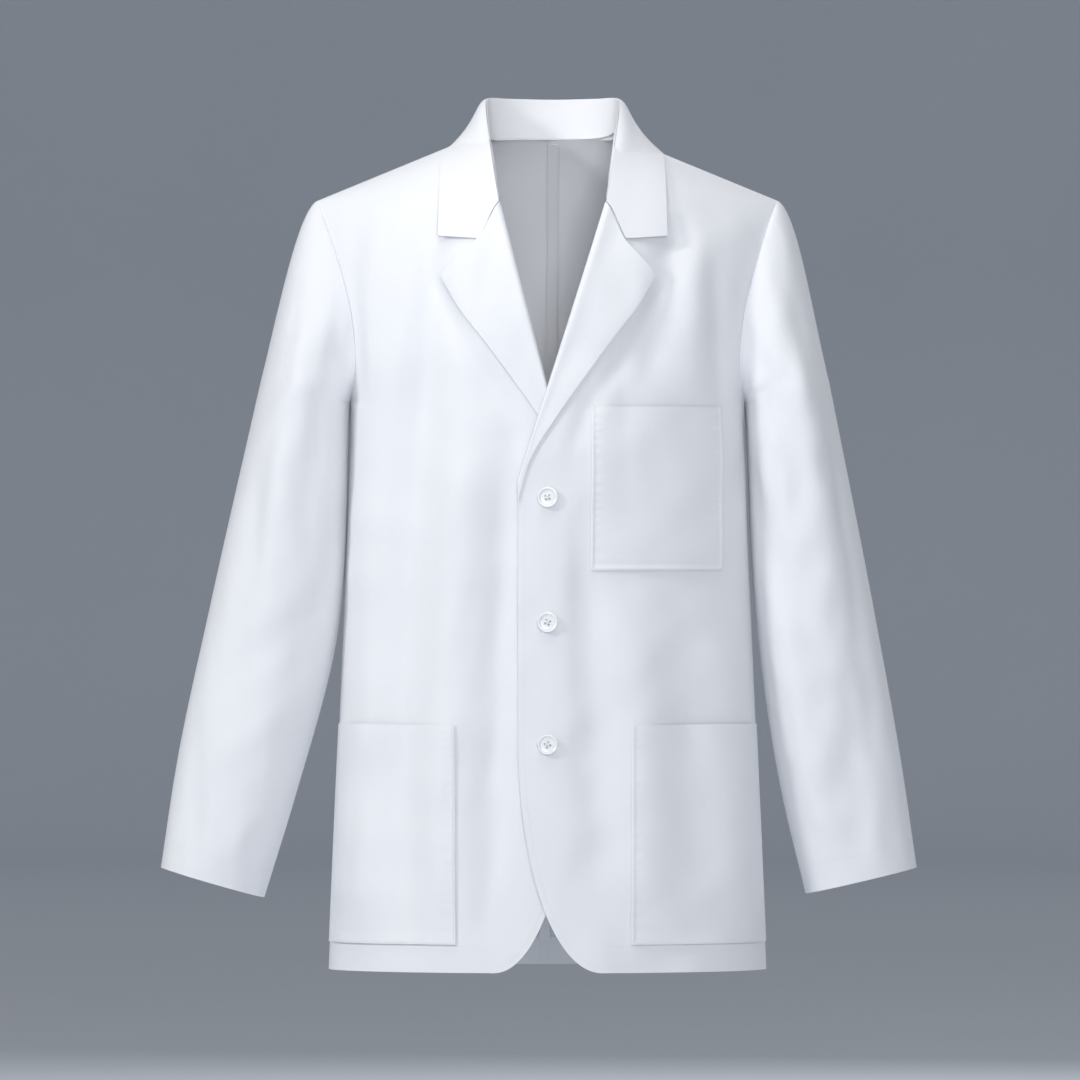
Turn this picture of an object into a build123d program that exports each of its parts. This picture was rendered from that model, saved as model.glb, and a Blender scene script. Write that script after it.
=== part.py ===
"""Lab coat: a notched-lapel, three-button coat, hanging as it does when worn.

Millimetres. +Z is up, -Y is the front, +X is the wearer's left. The origin is midway between
the two points where the shoulder seams meet the neck, which is where a hanger's neck comes out.

Cloth is drawn as plain shells a few millimetres thick. Layers of cloth are measured outwards
from the coat's outer face: 0 is that face, and negative numbers are inside it.
"""

from build123d import *
from math import cos, radians, sin, tan
import os

# ---- driving sizes ----
CLOTH = 3.0                     # thickness of a cloth shell
GAP = 0.5                       # clearance between pieces that are sewn or lie together
HEM_Z = -779.0                  # bottom edge of the coat
HEM_DEPTH = 26.0                # turned-up hem of the body
NECK_X = 62.0                   # half width of the neck at the shoulder seams
SHOULDER_TIP = (214.0, -62.5)   # where the shoulder seam meets the sleeve, x and z
SHOULDER_FALL = -SHOULDER_TIP[1] / (SHOULDER_TIP[0] - NECK_X)
UNDERARM = (184.0, -251.0)      # bottom of the armhole, x and z
V_BOTTOM_Z = -240.0             # where the fronts cross
SPLIT_Z = -252.0                # the fronts swing below this height
LAP = 27.0                      # how far the left front reaches past the centre line
UNDERLAP = 22.0                 # how far the right front reaches under it
FACING_EDGE = 62.0              # inner edge of the front facings
CUTAWAY_Z = -722.0              # where the front edges start to curve away
CUTAWAY_R = 57.0                # radius of the rounded front corners
BUTTON_Z = {"top": -339.5, "middle": -455.0, "bottom": -568.0}
BUTTON_R = 9.5
BUTTON_T = 3.0
SHANK_R = 1.0
BUTTONHOLE_R = 12.5             # half the height of the tab of cloth round each buttonhole
BUTTONHOLE_SLIT = (21.0, 2.8)
POCKET_STAND = 10.0             # how far a pocket's cloth stands off the front
SLEEVE_LIFT = 45.0              # how far a sleeve lifts, in degrees

# height, half width, half depth of the body
BODY_SECTIONS = (
    (HEM_Z, 204.0, 124.0),
    (-455.0, 190.0, 113.0),
    (-251.0, 183.5, 112.0),
    (-150.0, 204.0, 110.0),
    (-50.0, 224.0, 108.0),
    (60.0, 240.0, 106.0),
)
# height, centre x, half width, half depth of the sleeve on the left
SLEEVE_SECTIONS = (
    (-30.0, 208.0, 6.0, 22.0),
    (-90.0, 209.5, 16.5, 46.0),
    (-160.0, 212.0, 27.0, 66.0),
    (-251.0, 221.5, 35.5, 74.0),
    (-455.0, 248.5, 55.5, 58.0),
    (-695.0, 300.5, 52.0, 43.0),
    (-745.0, 312.5, 51.5, 42.5),
)
SLEEVE_Y = 8.0                  # sleeves hang a little behind the middle
CUFF_CENTRE = (300.5, -695.5)
CUFF_TILT = 15.3                # degrees
CUFF_HEM = 28.0
ROOM = 420.0                    # larger than any half extent, for cutting shapes

BOTTOM_INSIDE = 12.0            # how far inner forms run past an open end


# ---- forms that the cloth is cut from ----
def coat_form(outwards):
    """The body as a solid whose face lies outwards of the coat's outer face."""
    with BuildPart() as form:
        for height, half_width, half_depth in BODY_SECTIONS:
            low = BOTTOM_INSIDE if height == HEM_Z else 0.0
            with BuildSketch(Plane.XY.offset(height - low)):
                Ellipse(half_width + outwards, half_depth + outwards)
        loft(ruled=True)
    top = NECK_X * SHOULDER_FALL + outwards
    depth = BODY_SECTIONS[3][2] + outwards
    with BuildPart() as roof:
        for side in (1, -1):
            with BuildSketch(Plane.YZ):
                with BuildLine():
                    crown = Spline(
                        (-depth, -190),
                        (-0.84 * depth, top - 95),
                        (0, top),
                        (0.84 * depth, top - 95),
                        (depth, -190),
                        tangents=((0, 1), (0, -1)),
                    )
                    Polyline(crown @ 1, (depth + 40, -250), (depth + 40, -ROOM * 2.4))
                    Line((depth + 40, -ROOM * 2.4), (-depth - 40, -ROOM * 2.4))
                    Polyline((-depth - 40, -ROOM * 2.4), (-depth - 40, -250), crown @ 0)
                make_face()
            extrude(amount=260, dir=(side, 0, -SHOULDER_FALL))
    with BuildPart() as body:
        add(form)
        add(roof, mode=Mode.INTERSECT)
    return body.part


def sleeve_form(outwards):
    """The left sleeve as a solid whose face lies outwards of the sleeve's outer face."""
    with BuildPart() as form:
        for height, centre, half_width, half_depth in SLEEVE_SECTIONS:
            with BuildSketch(Plane.XY.offset(height)):
                with Locations((centre, SLEEVE_Y)):
                    Ellipse(half_width + outwards, half_depth + outwards)
        loft(ruled=True)
    return form.part


def prism(points, y_low, y_high):
    """A block with the outline `points` in the front view, from y_low to y_high."""
    with BuildPart() as block:
        with BuildSketch(Plane.XZ.offset(-y_high)):
            with BuildLine():
                Polyline(*points, close=True)
            make_face()
        extrude(amount=y_high - y_low)
    return block.part


def front_block(outline):
    return prism(outline, -ROOM, -GAP / 2)


def mirrored(points):
    return [(-x, z) for x, z in points]


forms = {}


def form_at(outwards):
    """Each form is made once."""
    if outwards not in forms:
        forms[outwards] = coat_form(outwards)
    return forms[outwards]


def layer(inner, outer, block):
    """The cloth between two faces of the coat, inside the given block."""
    with BuildPart() as cloth:
        add(form_at(outer))
        add(form_at(inner), mode=Mode.SUBTRACT)
        add(block, mode=Mode.INTERSECT)
    return cloth.part


def finish(name, part):
    part.label = name
    export_step(part, f"parts/{name}.step")


os.makedirs("parts", exist_ok=True)

# ---- cutting shapes ----
ARMHOLE = [
    (ROOM, 60),
    (SHOULDER_TIP[0] + 4, 60),
    (SHOULDER_TIP[0], SHOULDER_TIP[1]),
    (196, -118),
    (182, -180),
    (179, -222),
    (UNDERARM[0], UNDERARM[1]),
    (ROOM, UNDERARM[1]),
]
armhole_cut = prism(ARMHOLE, -ROOM, ROOM)
armhole_cut_right = prism(mirrored(ARMHOLE), -ROOM, ROOM)

with BuildPart() as neck_hole:
    with BuildSketch(Plane.XY.offset(-60)):
        Ellipse(NECK_X, 60)
    extrude(amount=160)

v_cut = prism([(-NECK_X, 60), (NECK_X, 60), (NECK_X, 0), (0, V_BOTTOM_Z), (-NECK_X, 0)], -ROOM, 0)


def body_cloth(inner, outer, block):
    """A layer with the armholes and the neck cut out of it."""
    with BuildPart() as cloth:
        add(layer(inner, outer, block))
        add(armhole_cut, mode=Mode.SUBTRACT)
        add(armhole_cut_right, mode=Mode.SUBTRACT)
        add(neck_hole, mode=Mode.SUBTRACT)
    return cloth.part


# ---- back ----
BACK_LEFT = [(GAP / 2, 90), (ROOM, 90), (ROOM, HEM_Z), (GAP / 2, HEM_Z)]
for name, outline in (("back_left", BACK_LEFT), ("back_right", mirrored(BACK_LEFT))):
    finish(name, body_cloth(-CLOTH, 0.0, prism(outline, GAP / 2, ROOM)))

INSIDE = (-CLOTH - GAP - 2.4, -CLOTH - GAP)     # a band or strip sewn inside the cloth
SEAM = 10.0
hem_top = HEM_Z + HEM_DEPTH
strip = [(-SEAM / 2, -30), (SEAM / 2, -30), (SEAM / 2, hem_top + GAP), (-SEAM / 2, hem_top + GAP)]
finish("centre_back_seam", body_cloth(*INSIDE, prism(strip, 30, ROOM)))
BACK_HEM = [(-ROOM, HEM_Z), (ROOM, HEM_Z), (ROOM, hem_top), (-ROOM, hem_top)]
finish("back_hem", body_cloth(*INSIDE, prism(BACK_HEM, 2, ROOM)))
seam_top = UNDERARM[1] - 8
SIDE_SEAM = [(ROOM, seam_top), (120, seam_top), (120, hem_top + GAP), (ROOM, hem_top + GAP)]
for name, outline in (("left_side_seam", SIDE_SEAM), ("right_side_seam", mirrored(SIDE_SEAM))):
    finish(name, body_cloth(*INSIDE, prism(outline, 2, 2 + SEAM)))
SHOULDER_SEAM = [(NECK_X + 6, 60), (195, 60), (195, -110), (NECK_X + 6, -110)]
for side, outline in (("left", SHOULDER_SEAM), ("right", mirrored(SHOULDER_SEAM))):
    finish(f"{side}_shoulder_seam", body_cloth(*INSIDE, prism(outline, 2, 2 + SEAM)))

# ---- fronts above the swing: the shoulder part of each front ----
YOKE = [(-1, 90), (ROOM, 90), (ROOM, SPLIT_Z + 1), (GAP, SPLIT_Z + 1)]
for name, outline in (("left_front_shoulder", YOKE), ("right_front_shoulder", mirrored(YOKE))):
    with BuildPart() as shoulder:
        add(body_cloth(-CLOTH, 0.0, front_block(outline)))
        add(v_cut, mode=Mode.SUBTRACT)
    finish(name, shoulder.part)


# ---- fronts below it ----
def cutaway(edge_x, side):
    """What the rounded front corner takes away, from a front edge at edge_x. side is +1 or -1."""
    far = edge_x - side * 60
    with BuildPart() as cut:
        with BuildSketch(Plane.XZ.offset(1)):
            with BuildLine():
                Line((edge_x, CUTAWAY_Z), (far, CUTAWAY_Z))
                Polyline((far, CUTAWAY_Z), (far, HEM_Z - 20), (edge_x + side * CUTAWAY_R, HEM_Z - 20))
                Line((edge_x + side * CUTAWAY_R, HEM_Z - 20), (edge_x + side * CUTAWAY_R, HEM_Z))
                RadiusArc((edge_x + side * CUTAWAY_R, HEM_Z), (edge_x, CUTAWAY_Z), side * CUTAWAY_R)
            make_face()
        extrude(amount=ROOM)
    return cut.part


def swing_block(inner_x, outer_x, high=SPLIT_Z, low=HEM_Z):
    return front_block([(inner_x, high), (outer_x, high), (outer_x, low), (inner_x, low)])


def lap_tab(height, grow=0.0):
    """The part of the lap from a buttonhole to the front edge."""
    reach = BUTTONHOLE_R + grow
    return swing_block(-LAP - grow, reach, height + reach, height - reach)


LAP_STEP = -LAP - 1.5           # the right front steps inwards here, to go under the left
left_cutaway = cutaway(-LAP, 1)
right_cutaway = cutaway(UNDERLAP, -1)

with BuildPart() as left_front:
    add(layer(-CLOTH, 0.0, swing_block(-LAP, ROOM)))
    add(left_cutaway, mode=Mode.SUBTRACT)
    for height in BUTTON_Z.values():
        add(lap_tab(height, 0.2), mode=Mode.SUBTRACT)
finish("left_front", left_front.part)

with BuildPart() as right_front:
    add(layer(-CLOTH, 0.0, swing_block(-ROOM, LAP_STEP)))
    add(layer(-2 * CLOTH - GAP, -CLOTH + 0.1, swing_block(-60, LAP_STEP)))
    add(layer(-2 * CLOTH - GAP, -CLOTH - GAP, swing_block(-60, UNDERLAP)))
    add(right_cutaway, mode=Mode.SUBTRACT)
finish("right_front", right_front.part)

with BuildPart() as left_facing:
    add(layer(*INSIDE, swing_block(UNDERLAP + 2, FACING_EDGE)))
    add(left_cutaway, mode=Mode.SUBTRACT)
finish("left_front_facing", left_facing.part)

UNDER = (-2 * CLOTH - 2 * GAP - 2.4, -2 * CLOTH - 2 * GAP)
with BuildPart() as right_facing:
    add(layer(*UNDER, swing_block(-59, UNDERLAP - 1)))
    add(right_cutaway, mode=Mode.SUBTRACT)
finish("right_front_facing", right_facing.part)

hem_block = swing_block(FACING_EDGE + 2, 205, hem_top)
finish("left_front_hem", layer(*INSIDE, hem_block))
finish("right_front_hem", layer(*INSIDE, hem_block.mirror(Plane.YZ)))


# ---- pockets ----
def pocket(left, right, top, bottom):
    """A patch pocket, open at the top and sewn down on its other three edges."""
    wall = 2.0
    sewn_left = left + wall
    sewn_right = right - wall
    sewn_low = bottom + wall
    above = top + 5
    outline = front_block([(left, top), (right, top), (right, bottom), (left, bottom)])
    hollow = front_block(
        [(sewn_left, above), (sewn_right, above), (sewn_right, sewn_low), (sewn_left, sewn_low)]
    )
    with BuildPart() as patch:
        add(layer(GAP, POCKET_STAND + wall, outline))
        add(layer(GAP - 0.1, POCKET_STAND, hollow), mode=Mode.SUBTRACT)
    return patch.part


CHEST_POCKET = (40.0, 161.0, -255.0, -407.0)
LOWER_POCKET = (83.0, 192.0, -549.5, -753.0)
finish("chest_pocket", pocket(*CHEST_POCKET))
lower_pocket = pocket(*LOWER_POCKET)
finish("left_lower_pocket", lower_pocket)
finish("right_lower_pocket", lower_pocket.mirror(Plane.YZ))


def bar_tack(x, z):
    """A dense bar of stitches at a pocket's top corner."""
    return prism([(x, z), (x + 1.6, z), (x + 1.6, z - 9), (x, z - 9)], -ROOM, -GAP)


TACK = (POCKET_STAND + 2.2, POCKET_STAND + 3.2)
tack_places = (
    (CHEST_POCKET[0], CHEST_POCKET[2]),
    (CHEST_POCKET[1] - 1.6, CHEST_POCKET[2]),
    (LOWER_POCKET[0], LOWER_POCKET[2]),
)
left_tacks = [layer(*TACK, bar_tack(x, z - 0.5)) for x, z in tack_places]
right_tack = left_tacks[2].mirror(Plane.YZ)
with BuildPart() as left_pocket_tacks:
    add(left_tacks)
finish("left_pocket_tacks", left_pocket_tacks.part)
finish("right_pocket_tacks", right_tack)

# ---- lapels and collar, lying on the chest ----
LAYING = (1.5, 4.0)             # faces of a piece that lies on the fronts
LAPEL = [(46, -71), (75, -106), (101, -131), (52, -190), (22, -224), (8, -246), (0.5, -240)]
for name, outline in (("left_lapel", LAPEL), ("right_lapel", mirrored(LAPEL))):
    finish(name, layer(*LAYING, front_block(outline)))

COLLAR_TOP = 30.0
COLLAR_OUT = (101.0, -17.0)     # the collar's outer edge over the shoulder
WING = [(67, 1), (COLLAR_OUT[0] + 1, -19), (104, -98), (77, -103.5), (47, -67.5), (61, -5)]
for name, outline in (("left_collar_wing", WING), ("right_collar_wing", mirrored(WING))):
    finish(name, layer(*LAYING, prism(outline, -ROOM, -12)))

with BuildPart() as collar_stand:
    with BuildSketch(Plane.XY.offset(-4)):
        Ellipse(NECK_X - 0.8, 59)
        Ellipse(NECK_X - 3.3, 56.5, mode=Mode.SUBTRACT)
    extrude(amount=COLLAR_TOP + 2)
    with BuildSketch(Plane.XZ) as open_front:
        Rectangle(2 * ROOM, 2 * ROOM)
    extrude(amount=ROOM, mode=Mode.SUBTRACT)
finish("collar_stand", collar_stand.part)

with BuildPart() as collar_fall:
    for outwards, mode in ((0.0, Mode.ADD), (-2.5, Mode.SUBTRACT)):
        drop = -outwards * 1.6
        with BuildSketch(Plane.XY.offset(COLLAR_TOP - drop)):
            Ellipse(NECK_X + 3.5, 64)
        with BuildSketch(Plane.XY.offset(COLLAR_OUT[1] - drop)):
            Ellipse(COLLAR_OUT[0] + 4, 108)
        loft(mode=mode)
    with BuildSketch(Plane.XY.offset(-60)):
        Ellipse(NECK_X, 60.5)
    extrude(amount=160, mode=Mode.SUBTRACT)
    add(form_at(1.2), mode=Mode.SUBTRACT)
    with BuildSketch(Plane.XZ.offset(11)):
        Rectangle(2 * ROOM, 2 * ROOM)
    extrude(amount=ROOM, mode=Mode.SUBTRACT)
finish("collar_fall", collar_fall.part)


# ---- buttons, their threads and their buttonholes ----
def front_y(height):
    """y of the coat's outer face on the centre line, read off the form."""
    line = Edge.make_line((0, -ROOM, height), (0, 0, height))
    return min(v.Y for v in form_at(0.0).intersect(line).vertices())


for name, height in BUTTON_Z.items():
    face_y = front_y(height)
    button_back = face_y - 1.2
    with BuildPart() as button:
        with BuildSketch(Plane.XZ.offset(-button_back)):
            with Locations((0, height)):
                Circle(BUTTON_R)
        extrude(amount=BUTTON_T)
        chamfer(button.edges().group_by(Axis.Y)[0], 0.8)
        with BuildSketch(Plane.XZ.offset(-button_back + BUTTON_T)):
            with Locations((0, height)):
                Circle(BUTTON_R - 2.8)
        extrude(amount=-0.9, mode=Mode.SUBTRACT)
        with BuildSketch(Plane.XZ.offset(-button_back)):
            with Locations((0, height)):
                with GridLocations(3.4, 3.4, 2, 2):
                    Circle(0.9)
        extrude(amount=BUTTON_T, mode=Mode.SUBTRACT)
    finish(f"{name}_button", button.part)

    lap_face = face_y + CLOTH + GAP
    with BuildPart() as thread:
        with BuildSketch(Plane.XZ.offset(-lap_face + 0.6)):
            with Locations((0, height)):
                Circle(SHANK_R)
        extrude(amount=lap_face - 0.6 - button_back - 0.2)
    finish(f"{name}_button_thread", thread.part)

    with BuildPart() as buttonhole:
        add(layer(-CLOTH + 0.2, 0.0, lap_tab(height)))
        with BuildSketch(Plane.XZ):
            with Locations((0, height)):
                SlotOverall(*BUTTONHOLE_SLIT)
        extrude(amount=ROOM, mode=Mode.SUBTRACT)
    finish(f"{name}_buttonhole", buttonhole.part)

# ---- sleeves ----
cuff_across = Vector(cos(radians(CUFF_TILT)), 0, sin(radians(CUFF_TILT)))
arm_down = Vector(sin(radians(CUFF_TILT)), 0, -cos(radians(CUFF_TILT)))
cuff_plane = Plane(origin=(CUFF_CENTRE[0], 0, CUFF_CENTRE[1]), x_dir=cuff_across, z_dir=-arm_down)


def above_cuff(up):
    """Everything further up the arm than `up` from the cuff's edge."""
    with BuildPart() as block:
        with BuildSketch(cuff_plane.offset(up)):
            Rectangle(2 * ROOM, 2 * ROOM)
        extrude(amount=2 * ROOM)
    return block.part


def sleeve_tube(inner, outer):
    """The sleeve's wall, whole, from over the shoulder to the cuff's edge."""
    with BuildPart() as tube:
        add(sleeve_form(outer))
        add(sleeve_form(inner), mode=Mode.SUBTRACT)
        add(above_cuff(0), mode=Mode.INTERSECT)
    return tube.part


PIVOT_X = UNDERARM[0] + 0.6
PIVOT_Z = UNDERARM[1]
far_x = PIVOT_X + 200
crook_top = PIVOT_Z + 2 + tan(radians(SLEEVE_LIFT + 1.0)) * 200
deep = -ROOM * 2.2
armhole_side = [(x + GAP, z) for x, z in ARMHOLE[1:6]]
SLEEVE_HEAD = [*armhole_side, (PIVOT_X - 2, PIVOT_Z + 4), (far_x, crook_top + 2), (far_x, 60)]
SLEEVE_CROOK = [(PIVOT_X + 3, PIVOT_Z + 6), (far_x, crook_top), (ROOM, PIVOT_Z), (PIVOT_X + 3, PIVOT_Z)]
SLEEVE_BELOW = [(PIVOT_X, PIVOT_Z - GAP), (ROOM, PIVOT_Z - GAP), (ROOM, deep), (PIVOT_X, deep)]
ARMHOLE_SHIFT = 16.0            # the sleeve's head is open this far towards the body

wall = sleeve_tube(-CLOTH, 0.0)
hem_ring = sleeve_tube(*INSIDE)
armhole_mouth = sleeve_form(-CLOTH).translate((-ARMHOLE_SHIFT, 0, 0))
sleeve_parts = {}
for name, outline in (("head", SLEEVE_HEAD), ("crook", SLEEVE_CROOK)):
    with BuildPart() as piece:
        add(wall)
        add(prism(outline, -ROOM, ROOM), mode=Mode.INTERSECT)
        add(armhole_mouth, mode=Mode.SUBTRACT)
    sleeve_parts[f"sleeve_{name}"] = piece.part
with BuildPart() as sleeve:
    add(wall)
    add(prism(SLEEVE_BELOW, -ROOM, ROOM), mode=Mode.INTERSECT)
sleeve_parts["sleeve"] = sleeve.part
with BuildPart() as cuff_hem:
    add(hem_ring)
    add(above_cuff(CUFF_HEM), mode=Mode.SUBTRACT)
sleeve_parts["sleeve_hem"] = cuff_hem.part
for name, part in sleeve_parts.items():
    finish(f"left_{name}", part)
    finish(f"right_{name}", part.mirror(Plane.YZ))
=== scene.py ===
"""A white lab coat hanging as it does when worn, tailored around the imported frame.

Metres. +Z is up, -Y is the front, +X is the wearer's left. Cloth is laid on one shared form, so
every layer follows the same folds, and each layer is lifted off that form by its own height.
"""

from __future__ import annotations

import logging
import math
from dataclasses import dataclass, field
from enum import Enum

import bmesh
import bpy
import numpy as np
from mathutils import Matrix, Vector

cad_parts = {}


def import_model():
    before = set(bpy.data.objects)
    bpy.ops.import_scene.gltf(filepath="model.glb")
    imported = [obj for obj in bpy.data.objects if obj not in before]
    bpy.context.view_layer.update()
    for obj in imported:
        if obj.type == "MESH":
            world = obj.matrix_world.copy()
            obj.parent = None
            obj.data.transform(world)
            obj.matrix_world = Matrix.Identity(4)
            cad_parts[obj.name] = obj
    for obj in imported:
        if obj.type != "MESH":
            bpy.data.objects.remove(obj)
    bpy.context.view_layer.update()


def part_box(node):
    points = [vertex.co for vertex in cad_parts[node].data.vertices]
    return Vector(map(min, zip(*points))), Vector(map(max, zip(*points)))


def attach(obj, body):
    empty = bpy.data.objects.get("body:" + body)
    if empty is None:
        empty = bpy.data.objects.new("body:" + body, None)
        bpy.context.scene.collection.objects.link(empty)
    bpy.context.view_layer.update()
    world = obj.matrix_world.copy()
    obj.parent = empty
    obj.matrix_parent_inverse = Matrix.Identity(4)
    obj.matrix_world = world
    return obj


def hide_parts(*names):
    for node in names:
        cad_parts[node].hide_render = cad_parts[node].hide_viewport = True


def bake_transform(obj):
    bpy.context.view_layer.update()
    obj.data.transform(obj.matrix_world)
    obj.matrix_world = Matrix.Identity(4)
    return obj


log = logging.getLogger("lab_coat")

CLOTH_T = 0.0006            # thickness of one layer of cloth
POCKET_T = 0.0013           # a pocket with its turned edges
PANEL_STEP = 0.0034         # spacing of the points across a panel
NECK = 0.062                # half width of the neck at the shoulder seams
SHOULDER_TIP = (0.214, -0.0625)
SHOULDER_FALL = -SHOULDER_TIP[1] / (SHOULDER_TIP[0] - NECK)
ARM_Z = -0.251              # height of the underarm
HEM_Z = -0.779
HEM_DEPTH = 0.026
FOLD_GAIN = 1.7             # how much fuller the folds are than their tables say
ROW_CROWDING = 1.7          # how closely the rows gather at the shoulder's tip
CORNER_TOP = -0.560         # where the front edges start to curve away
BREAK_Z = -0.325            # where the lapels start to roll
FACING = 0.062
GORGE_Z = -0.065            # inner end of the seam between collar and lapel
LAPEL_TIP = (0.0995, -0.1340)
BUTTON_RADIUS = 0.0095


class Side(Enum):
    """The wearer's side, with the sign of its x."""

    LEFT = 1
    RIGHT = -1

    @property
    def word(self) -> str:
        """The side's name as it stands in node names."""
        return self.name.lower()


class Face(Enum):
    """The front or the back of the coat, with the sign of its y."""

    FRONT = -1
    BACK = 1


class Held(Enum):
    """How a sheet of cloth is held."""

    HUNG = "hung"


# ---------------------------------------------------------------- curves and grids
def ease(value: np.ndarray | float, low: float, high: float) -> np.ndarray | float:
    """Return 0 at low, 1 at high and a smooth step between them; low may be above high."""
    t = np.clip((value - low) / (high - low), 0.0, 1.0)
    return t * t * (3 - 2 * t)


def flowing(at: np.ndarray | float, knots: tuple, values: tuple) -> np.ndarray:
    """Read a smooth curve that passes through its knots.

    Args:
        at: Where to read it.
        knots: Rising places.
        values: The curve's value at each knot.

    Returns:
        The values, the same shape as at.
    """
    knots_a, values_a = np.array(knots, float), np.array(values, float)
    slopes = np.gradient(values_a, knots_a)
    at = np.clip(np.asarray(at, float), knots_a[0], knots_a[-1])
    i = np.clip(np.searchsorted(knots_a, at) - 1, 0, len(knots_a) - 2)
    step = knots_a[i + 1] - knots_a[i]
    t = (at - knots_a[i]) / step
    rise = values_a[i + 1] - values_a[i]
    start, end = slopes[i] * step, slopes[i + 1] * step
    return values_a[i] + start * t + (3 * rise - 2 * start - end) * t**2 + (start + end
                                                                            - 2 * rise) * t**3


def unit(vectors: np.ndarray) -> np.ndarray:
    """Return the vectors at length one."""
    return vectors / np.maximum(np.linalg.norm(vectors, axis=-1, keepdims=True), 1e-12)


@dataclass
class Layout:
    """A grid of points on a piece of cloth: rows by columns by three.

    Attributes:
        points: The grid.
        tube: True if the last column joins the first.
        hub: A point inside, x and y, that the cloth's right side faces away from.
    """

    points: np.ndarray
    tube: bool = False
    hub: tuple[float, float] = (0.0, 0.0)

    def across(self) -> np.ndarray:
        """Return the step from column to column at each point."""
        if self.tube:
            return (np.roll(self.points, -1, axis=1) - np.roll(self.points, 1, axis=1)) / 2
        return np.gradient(self.points, axis=1)

    def normals(self) -> np.ndarray:
        """Return the cloth's right-side normal at each point."""
        normal = unit(np.cross(self.across(), np.gradient(self.points, axis=0)))
        away = self.points[..., :2] - np.array(self.hub)
        facing = (normal[..., :2] * away).sum(axis=-1).mean() + 1e-9
        return normal * np.sign(facing)

    def lifted(self, height: np.ndarray | float) -> "Layout":
        """Return the grid moved out along its normals."""
        height = np.broadcast_to(height, self.points.shape[:2])
        return Layout(self.points + self.normals() * height[..., None], self.tube, self.hub)

    def area(self) -> float:
        """Return the cloth's area in square metres."""
        p = np.concatenate([self.points, self.points[:, :1]], axis=1) if self.tube else self.points
        one = np.cross(p[1:, :-1] - p[:-1, :-1], p[:-1, 1:] - p[:-1, :-1])
        two = np.cross(p[1:, :-1] - p[1:, 1:], p[:-1, 1:] - p[1:, 1:])
        return float((np.linalg.norm(one, axis=-1) + np.linalg.norm(two, axis=-1)).sum() / 2)

    def shell(self, name: str, thickness: float = CLOTH_T) -> bpy.types.Object:
        """Make the cloth as a closed shell.

        Args:
            name: The piece's name.
            thickness: From the wrong side of the cloth to its right side.

        Returns:
            The new object.
        """
        grid = self
        raw = unit(np.cross(self.across(), np.gradient(self.points, axis=0)))
        if (raw * self.normals()).sum() < 0:
            grid = Layout(self.points[:, ::-1], self.tube, self.hub)
        rows, cols = grid.points.shape[:2]
        half = grid.normals() * thickness / 2
        vertices = np.concatenate([(grid.points + half).reshape(-1, 3),
                                   (grid.points - half).reshape(-1, 3)])
        index = np.arange(rows * cols).reshape(rows, cols)
        if self.tube:
            index = np.concatenate([index, index[:, :1]], axis=1)
        a, b, c, d = index[:-1, :-1], index[:-1, 1:], index[1:, 1:], index[1:, :-1]
        right = np.stack([a, b, c, d], axis=-1).reshape(-1, 4)
        wrong = right[:, ::-1] + rows * cols
        border = [(index[0, :-1], index[0, 1:]), (index[-1, 1:], index[-1, :-1])]
        if not self.tube:
            border += [(index[:-1, -1], index[1:, -1]), (index[1:, 0], index[:-1, 0])]
        rims = [np.stack([j, i, i + rows * cols, j + rows * cols], axis=-1) for i, j in border]
        return solid(name, vertices, np.concatenate([right, wrong, *rims]))


def solid(name: str, vertices: np.ndarray, faces: np.ndarray,
          sharp: float = 55.0) -> bpy.types.Object:
    """Make an object from vertices and faces, smooth but for edges sharper than an angle in degrees."""
    mesh = bpy.data.meshes.new(name)
    mesh.from_pydata(vertices.tolist(), [], faces.tolist())
    mesh.validate()
    mesh.polygons.foreach_set("use_smooth", [True] * len(mesh.polygons))
    mesh.set_sharp_from_angle(angle=math.radians(sharp))
    mesh.update()
    piece = bpy.data.objects.new(name, mesh)
    bpy.context.scene.collection.objects.link(piece)
    return piece


def tube(name: str, line: np.ndarray, radius: float, sides: int = 8) -> bpy.types.Object:
    """Make a round, closed-ended thread along a line of points."""
    along = unit(np.gradient(line, axis=0))
    first = unit(np.cross(along, np.array([0.31, 0.17, 0.93])))
    second = np.cross(along, first)
    turn = np.linspace(0, 2 * math.pi, sides, endpoint=False)
    ring = first[:, None] * np.cos(turn)[None, :, None] + second[:,
                                                                 None] * np.sin(turn)[None, :, None]
    swell = np.sqrt(np.clip(1 - np.linspace(-1, 1, len(line)) ** 8, 0.02, 1))[:, None, None]
    points = line[:, None] + ring * radius * swell
    index = np.arange(points.shape[0] * sides).reshape(-1, sides)
    nxt = np.roll(index, -1, axis=1)
    faces = np.stack([index[:-1], nxt[:-1], nxt[1:], index[1:]], axis=-1).reshape(-1, 4).tolist()
    faces += [index[0, ::-1].tolist(), index[-1].tolist()]
    mesh = bpy.data.meshes.new(name)
    mesh.from_pydata(points.reshape(-1, 3).tolist(), [], faces)
    mesh.polygons.foreach_set("use_smooth", [True] * len(mesh.polygons))
    piece = bpy.data.objects.new(name, mesh)
    bpy.context.scene.collection.objects.link(piece)
    return piece


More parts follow.
